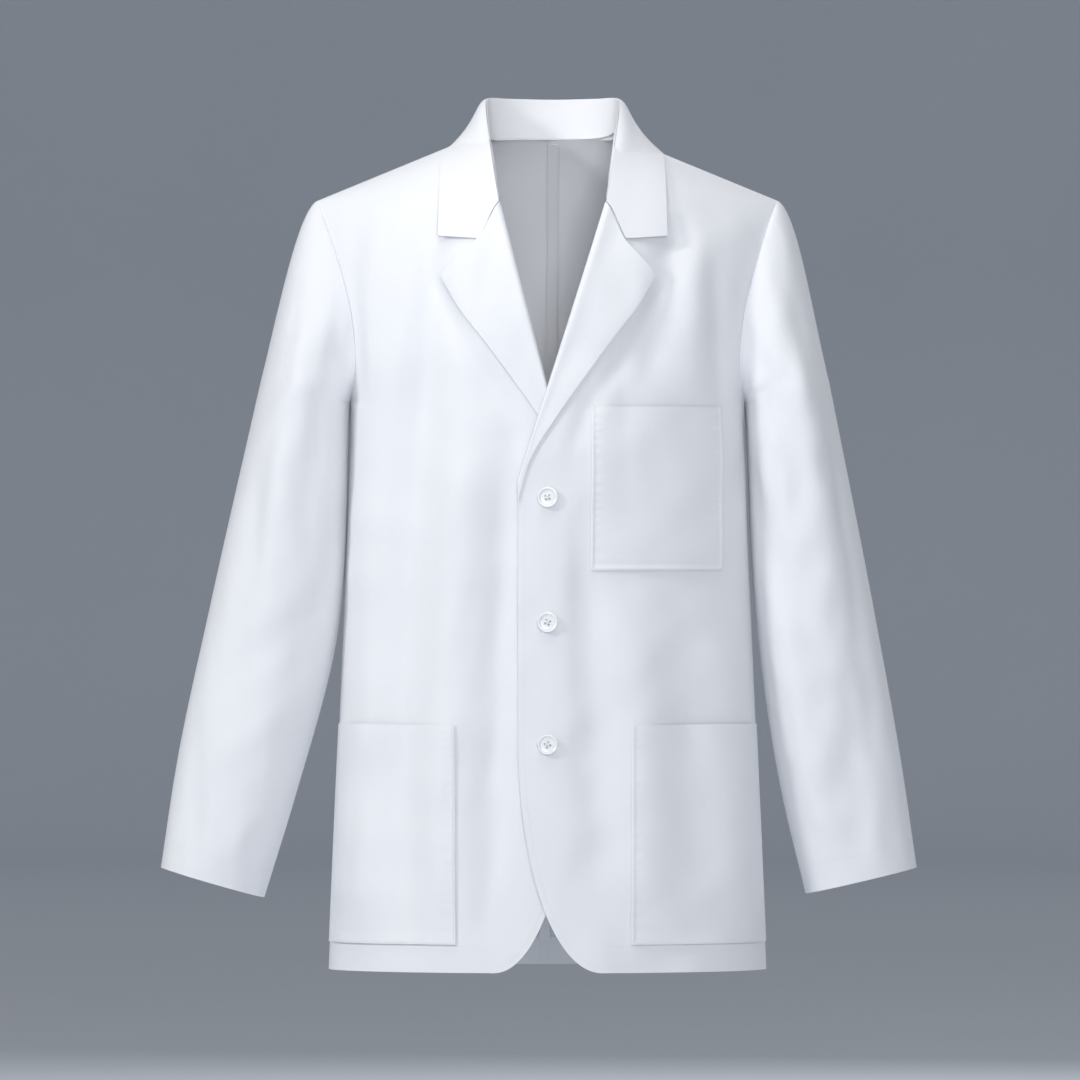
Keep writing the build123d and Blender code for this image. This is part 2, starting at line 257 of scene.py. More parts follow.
# ---------------------------------------------------------------- the form the cloth lies on
@dataclass(frozen=True)
class Fold:
    """A soft ridge or valley in the cloth, seen from in front.

    Attributes:
        path: Points from top to bottom, x and z, from the centre line towards the side.
        width: Half width.
        height: How far the cloth stands out, or in if negative.
        fade: Length over which each end dies away.
    """

    path: tuple[tuple[float, float], ...]
    width: float
    height: float
    fade: float = 0.09

    def at(self, x: np.ndarray, z: np.ndarray) -> np.ndarray:
        """Return the fold's height at each place."""
        zs = [p[1] for p in self.path][::-1]
        middle = flowing(z, tuple(zs), tuple(p[0] for p in self.path[::-1]))
        body = np.exp(-(((x - middle) / self.width) ** 2))
        return self.height * body * ease(z, zs[-1], zs[-1] - self.fade) * ease(z, zs[0] - 1e-6,
                                                                               zs[0] + self.fade)


@dataclass(frozen=True)
class Ripple:
    """Faint unevenness that pressed cloth keeps.

    Attributes:
        seed: Fixes the draws.
        longest: Longest wave.
        shortest: Shortest wave.
        height: How far the cloth strays.
    """

    seed: int
    longest: float = 0.11
    shortest: float = 0.022
    height: float = 0.00035

    def at(self, u: np.ndarray, v: np.ndarray) -> np.ndarray:
        """Return the unevenness at each place."""
        draw = np.random.default_rng(self.seed)
        total = np.zeros(np.broadcast(u, v).shape)
        for _ in range(16):
            wave = self.shortest * (self.longest / self.shortest) ** draw.random()
            turn, start = draw.random() * math.pi, draw.random() * 2 * math.pi
            run = (u * math.cos(turn) + v * 0.55 * math.sin(turn)) * 2 * math.pi / wave + start
            total += np.sin(run) * self.height * (wave / self.longest) ** 0.7
        return total


@dataclass
class Form:
    """The shape that the coat holds, front or back, as a surface that cloth is laid on.

    Attributes:
        face: Front or back.
        folds: Long folds in this part of the coat.
        ripple: Its faint unevenness.
        crown: Height over which the shoulders round over to the body's full depth.
    """

    face: Face
    folds: tuple[Fold, ...] = ()
    ripple: Ripple = Ripple(1)
    crown: float = 0.205
    heights: tuple = (-0.791, -0.620, -0.455, -0.330, -0.251, -0.150, -0.050, 0.060)
    widths: tuple = (0.2045, 0.1970, 0.1900, 0.1852, 0.1840, 0.2010, 0.2240, 0.2400)
    depths: tuple = (0.1240, 0.1185, 0.1130, 0.1124, 0.1120, 0.1100, 0.1080, 0.1060)

    def half_width(self, z: np.ndarray | float) -> np.ndarray:
        """Return the form's half width at each height."""
        return flowing(z, self.heights, self.widths)

    def point(self, turn: np.ndarray, z: np.ndarray) -> np.ndarray:
        """Return the form's points at angles from the centre line."""
        x = self.half_width(z) * np.sin(turn)
        drop = np.clip((shoulder_line(x) - z) / self.crown, 0, 1)
        rounding = np.sqrt(1 - (1 - drop) ** 2)
        y = self.face.value * flowing(z, self.heights, self.depths) * np.cos(turn) * rounding
        return np.stack([x, y, z], axis=-1)

    def place(self, x: np.ndarray, z: np.ndarray, lift: np.ndarray | float = 0.0,
              side: Side = Side.LEFT) -> np.ndarray:
        """Lay points on the folded form.

        Args:
            x: Distance from the centre line towards the side.
            z: Height.
            lift: Height of the layer off the form.
            side: The side that the points belong to.

        Returns:
            The points in the frame.
        """
        x, z, lift = np.broadcast_arrays(np.asarray(x, float), np.asarray(z, float), lift)
        turn = np.arcsin(np.clip(x / self.half_width(z), -1, 1))
        base = self.point(turn, z)
        small = 2e-4
        across = self.point(turn + small * 5, z) - self.point(turn - small * 5, z)
        down = self.point(turn, z - small) - self.point(turn, z + small)
        normal = unit(np.cross(across, down))
        away = np.stack([base[..., 0], base[..., 1] + self.face.value * 1e-4,
                         np.zeros_like(z)], axis=-1)
        normal *= np.sign((normal * away).sum(axis=-1, keepdims=True) + 1e-12)
        points = base + normal * (lift + self.relief(x, z))[..., None]
        return points * np.array([side.value, 1.0, 1.0])

    def relief(self, x: np.ndarray, z: np.ndarray) -> np.ndarray:
        """Return the height of folds and unevenness, which die out at the seams and the buttons."""
        calm = ease(shoulder_line(x) - z, 0.0, 0.05) * ease(armhole_x(z) - x, -0.002, 0.022)
        calm = np.where(z < ARM_Z, 1.0, calm)
        side = ease(self.half_width(z) - np.abs(x), 0.0, 0.006)
        total = FOLD_GAIN * sum((fold.at(x, z) for fold in self.folds), np.zeros_like(x))
        centre = ease(np.abs(x), 0.004, 0.030) if self.face is Face.FRONT else 1.0
        return calm * centre * side * (total + self.ripple.at(x, z))

    def columns(self, inner: np.ndarray, outer: np.ndarray, z: np.ndarray,
                count: int) -> np.ndarray:
        """Return x for evenly turned columns between two edges, at each row's height."""
        width = self.half_width(z)
        low = np.arcsin(np.clip(inner / width, -1, 1))
        high = np.arcsin(np.clip(outer / width, -1, 1))
        share = np.linspace(0, 1, count)
        return width[:, None] * np.sin(low[:, None] + (high - low)[:, None] * share)


def shoulder_line(x: np.ndarray | float) -> np.ndarray | float:
    """Return the height of the shoulder seam at x, carried on over the neck."""
    return -(np.abs(x) - NECK) * SHOULDER_FALL


def armhole_x(z: np.ndarray | float) -> np.ndarray:
    """Return how far out the armhole's edge is at each height."""
    return flowing(z, (-0.251, -0.222, -0.180, -0.118, -0.0625),
                   (0.1840, 0.1788, 0.1815, 0.1955, 0.2140))


def armhole_rows(count: int) -> tuple[np.ndarray, np.ndarray]:
    """Return the share of the way down, and the armhole's heights, for a panel's upper rows."""
    share = np.linspace(0, 1, count) ** ROW_CROWDING
    return share, SHOULDER_TIP[1] + (ARM_Z - SHOULDER_TIP[1]) * share


# ---------------------------------------------------------------- finishes
class Term:
    """One output of a shader node, with arithmetic on it."""

    def __init__(self, board: "Board", socket: bpy.types.NodeSocket) -> None:
        """Wrap a socket that belongs to a board."""
        self.board = board
        self.socket = socket

    def __add__(self, other: "Term | float") -> "Term":
        """Return the sum."""
        return self.board.maths("ADD", self, other)

    def __sub__(self, other: "Term | float") -> "Term":
        """Return the difference."""
        return self.board.maths("SUBTRACT", self, other)

    def __rsub__(self, other: float) -> "Term":
        """Return a number less this term."""
        return self.board.maths("SUBTRACT", other, self)

    def __mul__(self, other: "Term | float") -> "Term":
        """Return the product."""
        return self.board.maths("MULTIPLY", self, other)

    __radd__ = __add__
    __rmul__ = __mul__


class Board:
    """A material's nodes, and the ways in which nodes are added."""

    def __init__(self, name: str) -> None:
        """Start an empty material."""
        self.material = bpy.data.materials.new(name)
        self.material.use_nodes = True
        self.tree = self.material.node_tree
        self.tree.nodes.clear()

    def node(self, kind: str, settings: dict | None = None, sockets: dict | None = None,
             output: str | int = 0) -> Term:
        """Add a node.

        Args:
            kind: The node's type.
            settings: Its settings, which are made first; stops are a ramp's places and colours.
            sockets: Values or terms for its inputs, by name or number.
            output: Which output to return.

        Returns:
            That output.
        """
        made = self.tree.nodes.new(kind)
        for key, value in (settings or {}).items():
            if key == "stops":
                for element, (place, colour) in zip(made.color_ramp.elements, value):
                    element.position, element.color = place, colour
            else:
                setattr(made, key, value)
        for key, value in (sockets or {}).items():
            if isinstance(value, Term):
                self.tree.links.new(value.socket, made.inputs[key])
            else:
                made.inputs[key].default_value = value
        return Term(self, made.outputs[output])

    def maths(self, operation: str, one: Term | float, two: Term | float) -> Term:
        """Add a Math node on two values."""
        return self.node("ShaderNodeMath", {"operation": operation}, {0: one, 1: two})

    def place(self) -> Term:
        """Return the place in the piece's own space, in metres."""
        return self.node("ShaderNodeTexCoord", output="Object")

    def noise(self, place: Term, size: float, detail: float = 2.0) -> Term:
        """Return noise from 0 to 1 whose lumps are about size metres."""
        return self.node("ShaderNodeTexNoise", {},
                         {"Vector": place, "Scale": 1 / size, "Detail": detail}, "Fac")

    def stripes(self, place: Term, pitch: float, direction: str) -> Term:
        """Return stripes from 0 to 1 along a direction of the wave texture."""
        period = 0.628 if direction == "DIAGONAL" else 0.314
        settings = {"wave_type": "BANDS", "bands_direction": direction}
        sockets = {"Vector": place, "Scale": period / pitch, "Distortion": 0.6, "Detail": 1.0,
                   "Detail Scale": 1.4}
        return self.node("ShaderNodeTexWave", settings, sockets, "Fac")

    def tint(self, mask: Term, low: tuple, high: tuple) -> Term:
        """Return a colour between two, by a mask."""
        settings = {"data_type": "RGBA"}
        return self.node("ShaderNodeMix", settings, {0: mask, 6: (*low, 1), 7: (*high, 1)}, 2)

    def finish(self, surface: dict, height: Term | None = None,
               depth: float = 0.0) -> bpy.types.Material:
        """Close the material.

        Args:
            surface: Sockets of the shader.
            height: What raises the surface.
            depth: By how many metres.

        Returns:
            The material.
        """
        if height is not None:
            bump = {"Strength": 1.0, "Distance": depth, "Height": height}
            surface = {**surface, "Normal": self.node("ShaderNodeBump", {}, bump)}
        shader = self.node("ShaderNodeBsdfPrincipled", {}, surface)
        self.node_output(shader)
        return self.material

    def node_output(self, shader: Term) -> None:
        """Join the shader to the material's output."""
        out = self.tree.nodes.new("ShaderNodeOutputMaterial")
        self.tree.links.new(shader.socket, out.inputs["Surface"])


@dataclass(frozen=True)
class TwillCloth:
    """White poly-cotton twill, pressed.

    Attributes:
        name: The material's name.
        pale: Colour at the top of the threads.
        shade: Colour between them, painted shade in the hollows of the weave.
        pitch: Spacing of the diagonal ribs.
    """

    name: str = "pressed_white_twill"
    pale: tuple[float, float, float] = (0.885, 0.892, 0.915)
    shade: tuple[float, float, float] = (0.815, 0.825, 0.860)
    pitch: float = 0.00062

    def make(self) -> bpy.types.Material:
        """Return the material."""
        board = Board(self.name)
        place = board.place()
        rib = board.stripes(place, self.pitch, "DIAGONAL")
        warp = board.stripes(place, self.pitch * 0.72, "Z")
        slub = board.noise(place, 0.0035, 4.0)
        cloud = board.noise(place, 0.045, 3.0)
        grain = board.noise(place, 0.0009, 2.0)
        # Painted shade: the colour darkens with the ribs, slubs and grain that also raise the bump, so the
        # hollows of the weave are darker. The cloud is a random tone of the cloth.
        mask = rib * 0.22 + slub * 0.28 + cloud * 0.34 + grain * 0.16
        height = rib * 0.55 + warp * 0.20 + slub * 0.55 + grain * 0.25
        surface = {
            "Base Color": board.tint(mask, self.shade, self.pale),
            "Roughness": 0.74 + cloud * 0.16,
            "Specular IOR Level": 0.32,
            "Sheen Weight": 0.16,
            "Sheen Roughness": 0.45,
            "Subsurface Weight": 0.06,
            "Subsurface Radius": (0.003, 0.003, 0.003),
            "Subsurface Scale": 1.0,
        }
        return board.finish(surface, height, 0.00010)


@dataclass(frozen=True)
class SewingThread:
    """White spun polyester thread.

    Attributes:
        name: The material's name.
        pale: Its colour.
        shade: Its colour in the twist, painted shade in the grooves of the twist.
    """

    name: str = "white_sewing_thread"
    pale: tuple[float, float, float] = (0.92, 0.925, 0.94)
    shade: tuple[float, float, float] = (0.74, 0.75, 0.79)

    def make(self) -> bpy.types.Material:
        """Return the material."""
        board = Board(self.name)
        place = board.place()
        twist = board.stripes(place, 0.00030, "DIAGONAL")
        fuzz = board.noise(place, 0.0006, 3.0)
        # Painted shade: the colour darkens with the twist and fuzz that also raise the bump, so the
        # grooves of the thread are darker.
        surface = {
            "Base Color": board.tint(twist * 0.5 + fuzz * 0.5, self.shade, self.pale),
            "Roughness": 0.50 + fuzz * 0.25,
            "Sheen Weight": 0.2,
        }
        return board.finish(surface, twist * 0.7 + fuzz * 0.4, 0.00005)


@dataclass(frozen=True)
class ButtonPlastic:
    """Moulded white polyester with a faint pearl in it.

    Attributes:
        name: The material's name.
        pearl: Its brighter swirls.
        milk: Its body.
    """

    name: str = "pearl_white_button"
    pearl: tuple[float, float, float] = (0.93, 0.93, 0.94)
    milk: tuple[float, float, float] = (0.76, 0.77, 0.80)

    def make(self) -> bpy.types.Material:
        """Return the material."""
        board = Board(self.name)
        place = board.place()
        swirl = board.node(
            "ShaderNodeTexNoise", {},
            {"Vector": place, "Scale": 160.0, "Detail": 4.0, "Distortion": 2.2}, "Fac"
        )
        fine = board.noise(place, 0.0012, 3.0)
        surface = {
            "Base Color": board.tint(swirl * 0.8 + fine * 0.2, self.milk, self.pearl),
            "Roughness": 0.16 + swirl * 0.16,
            "Coat Weight": 0.35,
            "Coat Roughness": 0.12,
            "Subsurface Weight": 0.15,
            "Subsurface Radius": (0.002, 0.002, 0.002),
            "Subsurface Scale": 1.0,
        }
        return board.finish(surface, fine, 0.00003)


@dataclass(frozen=True)
class StudioPaint:
    """Matt paint of the floor and the wall behind it.

    Attributes:
        name: The material's name.
        colour: Its colour.
    """

    name: str = "studio_paint"
    colour: tuple[float, float, float] = (0.66, 0.71, 0.77)

    def make(self) -> bpy.types.Material:
        """Return the material."""
        board = Board(self.name)
        lumps = board.noise(board.place(), 0.4, 2.0)
        light = tuple(min(1.0, part * 1.03) for part in self.colour)
        return board.finish({"Base Color": board.tint(lumps, self.colour, light), "Roughness": 0.9})


# ---------------------------------------------------------------- joining pieces to the frame
@dataclass
class Bend:
    """Where cloth would turn from one body to another; joining with it only bakes the piece in place.

    Attributes:
        still: The body before the bend. Not used.
        moving: The body after it. Not used.
        start: Where the bend starts. Not used.
        end: Where it ends. Not used.
    """

    still: str
    moving: str
    start: tuple[float, float, float]
    end: tuple[float, float, float]

    def join(self, piece: bpy.types.Object) -> None:
        """Bake the piece's transform into its mesh; the piece is not bent and rides on no body."""
        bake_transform(piece)


@dataclass
class Ride:
    """A piece that moves with one body."""

    body: str

    def join(self, piece: bpy.types.Object) -> None:
        """Fix a piece to the body."""
        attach(piece, self.body)


def front_bend(side: Side) -> Bend:
    """Return the bend for a front, over the chest."""
    sign = side.value
    return Bend("torso", f"{side.word}_front", (0.0222 * sign, 0, -0.0310),
                (-0.1150 * sign, 0, -0.1032))


def sleeve_bend(side: Side) -> Bend:
    """Return the bend for a sleeve, over the upper arm."""
    sign = side.value
    start = (0.215, -0.075)
    length = 0.31
    end = (start[0] + length * 0.264, start[1] - length * 0.9646)
    return Bend("torso", f"{side.word}_sleeve", (start[0] * sign, 0, start[1]),
                (end[0] * sign, 0, end[1]))


@dataclass
class Tailor:
    """Dresses each piece, and fixes the pieces that ride on a body to that body.

    Attributes:
        finishes: The material for each slot.
        made: Names of the pieces so far.
    """

    finishes: dict[str, bpy.types.Material]
    made: list[str] = field(default_factory=list)

    def fit(self, piece: bpy.types.Object, slot: str, join: Bend | Ride,
            nodes: tuple[str, ...] = ()) -> bpy.types.Object:
        """Give a piece its finish, its body and the CAD nodes it stands for.

        Args:
            piece: The piece.
            slot: Its material slot.
            join: The body it rides on, or a bend, which only bakes it in place.
            nodes: CAD nodes that it replaces.

        Returns:
            The piece.
        """
        piece.data.materials.clear()
        piece.data.materials.append(self.finishes[slot])
        join.join(piece)
        if nodes:
            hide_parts(*nodes)
        self.made.append(piece.name)
        log.info("%s: %d faces, stands for %s", piece.name, len(piece.data.polygons),
                 ", ".join(nodes) or "itself")
        return piece

    def sew(
        self,
        name: str,
        layout: Layout,
        join: Bend | Ride,
        nodes: tuple[str, ...],
        flat: tuple[float, float],
        thickness: float = CLOTH_T,
    ) -> bpy.types.Object:
        """Args:
            name: The piece's name.
            layout: Its grid.
            join: The body it rides on, or a bend, which only bakes it in place.
            nodes: CAD nodes that it replaces.
            flat: Width and length of the cloth that it was cut from.
            thickness: Of the cloth, layers that are fused together counted as one.

        Returns:
            The piece.
        """
        piece = self.fit(layout.shell(name, thickness), "cloth", join, nodes)
        whole = flat[0] * flat[1]
        log.info("%s: cut covers %.2f of %.3f by %.3f m", name, layout.area() / whole, *flat)
        min(layout.area(), whole)
        return piece


@dataclass
class Needle:
    """Lays stitches, and gathers them into one piece.

    Attributes:
        pitch: From one stitch to the next.
        length: Length of a stitch.
        radius: Of the thread.
    """

    pitch: float = 0.0030
    length: float = 0.0022
    radius: float = 0.00021
    vertices: list = field(default_factory=list)

    def run(self, line: np.ndarray, normals: np.ndarray) -> None:
        """Sew along a line of points that lies on the cloth."""
        steps = np.concatenate([[0], np.cumsum(np.linalg.norm(np.diff(line, axis=0), axis=1))])
        starts = np.arange(self.pitch / 2, steps[-1] - self.length, self.pitch)

        def read(values: np.ndarray, at: np.ndarray) -> np.ndarray:
            """Read values part of the way along the line."""
            return np.stack([np.interp(at, steps, values[:, k]) for k in range(3)], axis=-1)

        self.bars(read(line, starts), read(line, starts + self.length), unit(read(normals, starts)))

    def bars(self, begin: np.ndarray, end: np.ndarray, normals: np.ndarray) -> None:
        """Lay one short bar of thread for each pair of ends."""
        aside = unit(np.cross(end - begin, normals)) * self.radius
        up = normals * self.radius
        for share, size, rise in ((0.0, 0.45, -0.4), (0.25, 1.0, 0.55), (0.75, 1.0, 0.55),
                                  (1.0, 0.45, -0.4)):
            middle = begin + (end - begin) * share + up * rise
            ring = [middle + aside * size, middle + up * size, middle - aside * size,
                    middle - up * size]
            self.vertices.append(np.stack(ring, axis=1))

    def satin(self, line: np.ndarray, normals: np.ndarray, width: float,
              pitch: float = 0.00045) -> None:
        """Lay close bars across a line, as on a buttonhole or a bar tack."""
        steps = np.concatenate([[0], np.cumsum(np.linalg.norm(np.diff(line, axis=0), axis=1))])
        at = np.arange(0, steps[-1], pitch)
        middle = np.stack([np.interp(at, steps, line[:, k]) for k in range(3)], axis=-1)
        normal = unit(np.stack([np.interp(at, steps, normals[:, k]) for k in range(3)], axis=-1))
        across = unit(np.cross(np.gradient(middle, axis=0), normal)) * width / 2
        self.bars(middle - across, middle + across, normal)

    def piece(self, name: str) -> bpy.types.Object:
        """Return all the stitches as one piece."""
        groups = [np.stack(self.vertices[i : i + 4], axis=1) for i in range(0,
                                                                            len(self.vertices), 4)]
        stitches = np.concatenate(groups)
        count = len(stitches)
        base = np.arange(count)[:, None] * 16
        quads = [[r * 4 + k, r * 4 + (k + 1) % 4, r * 4 + 4 + (k + 1) % 4,
                  r * 4 + 4 + k] for r in range(3) for k in range(4)]
        quads += [[3, 2, 1, 0], [12, 13, 14, 15]]
        faces = np.concatenate([base + np.array(quad) for quad in quads])
        return solid(name, stitches.reshape(-1, 3), faces, 80.0)


def sewn_line(form: Form, x: np.ndarray, z: np.ndarray, lift: np.ndarray | float,
              side: Side) -> tuple[np.ndarray, np.ndarray]:
    """Return points and normals of a line that lies on the cloth of a form."""
    line = form.place(x, z, lift, side)
    return line, unit(form.place(x, z, np.asarray(lift) + 0.001, side) - line)


# ---------------------------------------------------------------- the fronts
@dataclass
class Front:
    """One front of the coat, with its lapel, facing, hem and pockets.

    Attributes:
        side: Which front.
        lap: How far it reaches past the centre line.
        corner: How far its rounded corner reaches along the hem.
        layer: Height of its cloth off the form where the fronts lie on each other.
        folds: Its long folds.
        pocket_edge: Inner edge of its lower pocket.
        lapel_stand: How far the lapel's point stands off the chest.
        gorge: x of the inner end of the seam between collar and lapel.
        seed: Fixes its unevenness.
    """

    side: Side
    lap: float
    corner: float
    layer: float
    folds: tuple[Fold, ...]
    pocket_edge: float
    lapel_stand: float
    gorge: float
    seed: int
    pocket_top: float = -0.5500
    pocket_foot: float = -0.7530

    def __post_init__(self) -> None:
        """Make the form that this front lies on."""
        self.form = Form(Face.FRONT, self.folds, Ripple(self.seed))
        self.bend = front_bend(self.side)

    def edge(self, z: np.ndarray | float) -> np.ndarray:
        """Return x of the front edge, from the neck down the roll line to the rounded corner."""
        z = np.asarray(z, float)
        upper = np.interp(z, (BREAK_Z, GORGE_Z, 0.0), (-self.lap, self.gorge, NECK))
        share = np.clip((CORNER_TOP - z) / (CORNER_TOP - HEM_Z), 0, 1)
        curve = (self.lap + self.corner) * (1 - np.sqrt(1 - share**2.1))
        return np.where(z > CORNER_TOP, upper, -self.lap + curve)

    def lie(self, x: np.ndarray, z: np.ndarray) -> np.ndarray:
        """Return the height of the front's own cloth off the form."""
        near = ease(x, 0.075, 0.045)
        lie = self.layer * near * ease(z, -0.06, -0.20)
        if self.side is Side.LEFT:
            lie = lie + 0.0026 * near * ease(z, -0.200, -0.245) * ease(z, -0.332, -0.290)
        return lie

    def lower_rows(self, top: float, count: int) -> np.ndarray:
        """Return heights down to the hem, closer together where the corner turns."""
        straight = np.linspace(top, CORNER_TOP, count)[:-1]
        turn = np.linspace(0, 1, count * 2 // 3)
        return np.concatenate([straight,
                               CORNER_TOP + (HEM_Z - CORNER_TOP) * np.sin(turn * math.pi / 2)])

    def panel(self) -> Layout:
        """Return the front's cloth, from the shoulder seam to the hem."""
        count = round(0.30 / PANEL_STEP)
        share, outer_z = armhole_rows(84)
        inner_z = ARM_Z * share
        upper_x = self.form.columns(self.edge(inner_z), armhole_x(outer_z), outer_z, count)
        seam_z = shoulder_line(upper_x[0])
        upper_z = seam_z + (ARM_Z - seam_z) * share[:, None]
        lower_z = self.lower_rows(ARM_Z, 92)[1:]
        outer = self.form.half_width(lower_z)
        lower_x = self.form.columns(self.edge(lower_z), outer, lower_z, count)
        x = np.concatenate([upper_x, lower_x])
        z = np.concatenate([upper_z, np.repeat(lower_z[:, None], count, axis=1)])
        return Layout(self.form.place(x, z, self.lie(x, z), self.side))

    def inner_band(self, inner: np.ndarray, outer: np.ndarray, z: np.ndarray, count: int,
                   depth: float) -> Layout:
        """Return a band of cloth that lies inside the front, depth below its cloth."""
        x = self.form.columns(inner, outer, z, count)
        heights = np.repeat(z[:, None], count, axis=1)
        return Layout(self.form.place(x, heights, self.lie(x, heights) - depth, self.side))

    def lapel(self) -> Layout:
        """Return the lapel, rolled outwards and lying on the chest."""
        down = np.linspace(0, 1, 96)[:, None]
        out = np.linspace(0, 1, 34)[None, :] ** 1.15
        low_z = BREAK_Z - 0.018
        fold_z = GORGE_Z + (BREAK_Z - GORGE_Z) * down
        fold_x = self.edge(fold_z)
        rim_z = LAPEL_TIP[1] + (low_z - LAPEL_TIP[1]) * down
        places = (low_z, -0.305, -0.266, -0.227, -0.194, -0.165, LAPEL_TIP[1])
        rim_x = flowing(rim_z, places, (-self.lap, -self.lap + 0.011, 0.0075, 0.0345, 0.0585,
                                        0.0810, LAPEL_TIP[0]))
        kink = (1 - np.abs(out - 0.45) / 0.55).clip(0) * (1 - down) ** 9
        x = fold_x + (rim_x - fold_x) * out - 0.0035 * kink
        z = fold_z + (rim_z - fold_z) * out - 0.0065 * kink
        far = np.hypot(rim_x - fold_x, rim_z - fold_z) * out
        roll = 0.0019 * (1 - down) ** 0.8 * (far / 0.0045) * np.exp(1 - far / 0.0045)
        rest = 0.0013 * (1 - np.exp(-far / 0.0016))
        stand = self.lapel_stand * ease(out, 0.25, 1.0) * np.exp(-3.0 * down) * ease(down, 1.0, 0.6)
        sag = 0.0009 * np.sin(far * 55 + down * 7) * ease(out, 0.1, 0.6) * (1 - down)
        lift = self.lie(x, z) + roll + rest + stand + sag
        return Layout(self.form.place(x, z, lift, self.side))

    def patch(self, inner: float, outer: float | None, top: float, foot: float,
              gape: tuple[float, float, float]) -> Layout:
        """Return a patch pocket's cloth.

        Args:
            inner: x of its edge nearer the front edge.
            outer: x of its other edge, or None if it is caught in the side seam.
            top: Height of its mouth.
            foot: Height of its bottom edge.
            gape: Middle and half width of where the mouth stands open, and by how much.

        Returns:
            The grid.
        """
        z = np.linspace(top, foot, 100)
        edge = np.full_like(z, inner)
        far = self.form.half_width(z) - 0.0004 if outer is None else np.full_like(z, outer)
        count = 110
        x = self.form.columns(edge, far, z, count)
        heights = np.repeat(z[:, None], count, axis=1)
        side_gap = np.minimum(x - edge[:, None], far[:, None] - x if outer is not None else 0.05)
        border = np.minimum(side_gap, heights - foot)
        welt = 0.0009 * np.exp(-(((border - 0.0014) / 0.0013) ** 2))
        puff = welt + 0.0014 * ease(border, 0.003, 0.05)
        pucker = 0.00022 * np.sin(heights * 700 + 3
                                  * np.sin(heights
                                           * 90)) * np.exp(-(((border - 0.006) / 0.005) ** 2))
        mouth = gape[2] * np.exp(-(((x - gape[0]) / gape[1]) ** 2)) * ease(heights,
                                                                           top - 0.055, top)
        closing = ease(far[:, None] - x, 0.0, 0.016) if outer is None else 1.0
        lift = self.lie(x, heights) + 0.00095 + (0.00075 + puff + pucker + mouth) * closing
        return Layout(self.form.place(x, heights, lift, self.side))

    def sew_edges(self) -> Needle:
        """Return the stitching of the front edge below the lapel, the hem and the lower pocket."""
        needle = Needle()
        inset = 0.0055
        z = self.lower_rows(BREAK_Z - 0.02, 260)
        slope = np.gradient(self.edge(z), z)
        across = 1 / np.sqrt(1 + np.clip(slope, -30, 30) ** 2)
        x_edge = self.edge(z) + inset * across
        z_edge = z + inset * np.clip(slope, -30, 30) * -across
        keep = z_edge > HEM_Z + inset
        surface = self.lie(x_edge, z_edge) + CLOTH_T / 2
        line, normal = sewn_line(self.form, x_edge[keep], z_edge[keep], surface[keep], self.side)
        needle.run(line, normal)
        x_hem = np.linspace(self.corner - 0.004, self.form.half_width(HEM_Z) - 0.003, 400)
        z_hem = np.full_like(x_hem, HEM_Z + HEM_DEPTH - 0.0015)
        needle.run(*sewn_line(self.form, x_hem, z_hem,
                              self.lie(x_hem, z_hem) + CLOTH_T / 2, self.side))
        self.sew_patch(needle, self.pocket_edge, None, self.pocket_top, self.pocket_foot)
        return needle

    def sew_patch(self, needle: Needle, inner: float, outer: float | None, top: float,
                  foot: float) -> None:
        """Sew a patch pocket down beside its edges."""
        inset = 0.0016
        height = 0.0025 + POCKET_T / 2 + 0.0001
        far = self.form.half_width(foot) - 0.004 if outer is None else outer - inset
        z = np.linspace(top - 0.001, foot + inset, 200)
        x = np.linspace(inner + inset, far, 200)
        runs = [(np.full_like(z, inner + inset), z), (x, np.full_like(x, foot + inset))]
        if outer is not None:
            runs.append((np.full_like(z, far), z))
        for run_x, run_z in runs:
            needle.run(*sewn_line(self.form, run_x, run_z,
                                  self.lie(run_x, run_z) + height, self.side))

    def bar_tacks(self, places: tuple[tuple[float, float], ...]) -> bpy.types.Object:
        """Return the dense bars of stitches at the pockets' top corners."""
        needle = Needle(radius=0.00026)
        for x, z in places:
            run_z = np.linspace(z - 0.0008, z - 0.0088, 40)
            run_x = np.full_like(run_z, x)
            lift = self.lie(run_x, run_z) + 0.0015
            needle.satin(*sewn_line(self.form, run_x, run_z, lift, self.side), width=0.0019)
        return needle.piece(f"{self.side.word}_pocket_bars")

    def build(self, tailor: Tailor) -> None:
        """Make and dress this front."""
        word = self.side.word
        nodes = (f"{word}_front", f"{word}_front_shoulder")
        tailor.sew(f"{word}_front_panel", self.panel(), self.bend, nodes, (0.320, 0.860))
        tailor.sew(f"{word}_lapel_cloth", self.lapel(), self.bend, (f"{word}_lapel",),
                   (0.062, 0.280), thickness=0.0015)
        z = self.lower_rows(-0.262, 70)[:-3]
        inner, outer = self.edge(z) + 0.0006, np.maximum(FACING, self.edge(z) + 0.006)
        facing = self.inner_band(inner, outer, z, 22, 0.0011)
        tailor.sew(f"{word}_facing_cloth", facing, self.bend,
                   (f"{word}_front_facing",), (0.100, 0.530))
        z = np.linspace(HEM_Z + HEM_DEPTH, HEM_Z + 0.0003, 9)
        inner = np.maximum(self.edge(z) + 0.001, FACING + 0.001)
        hem = self.inner_band(inner, self.form.half_width(z) - 0.0006, z, 48, 0.0011)
        tailor.sew(f"{word}_hem_band", hem, self.bend, (f"{word}_front_hem",), (0.190, 0.030))
        gape = (0.157, 0.020, 0.0042) if self.side is Side.RIGHT else (0.150, 0.016, 0.0026)
        pocket = self.patch(self.pocket_edge, None, self.pocket_top, self.pocket_foot, gape)
        tailor.sew(f"{word}_pocket_cloth", pocket, self.bend, (f"{word}_lower_pocket",),
                   (0.175, 0.235), thickness=POCKET_T)
        tailor.fit(self.stitching().piece(f"{word}_front_stitching"), "thread", self.bend)
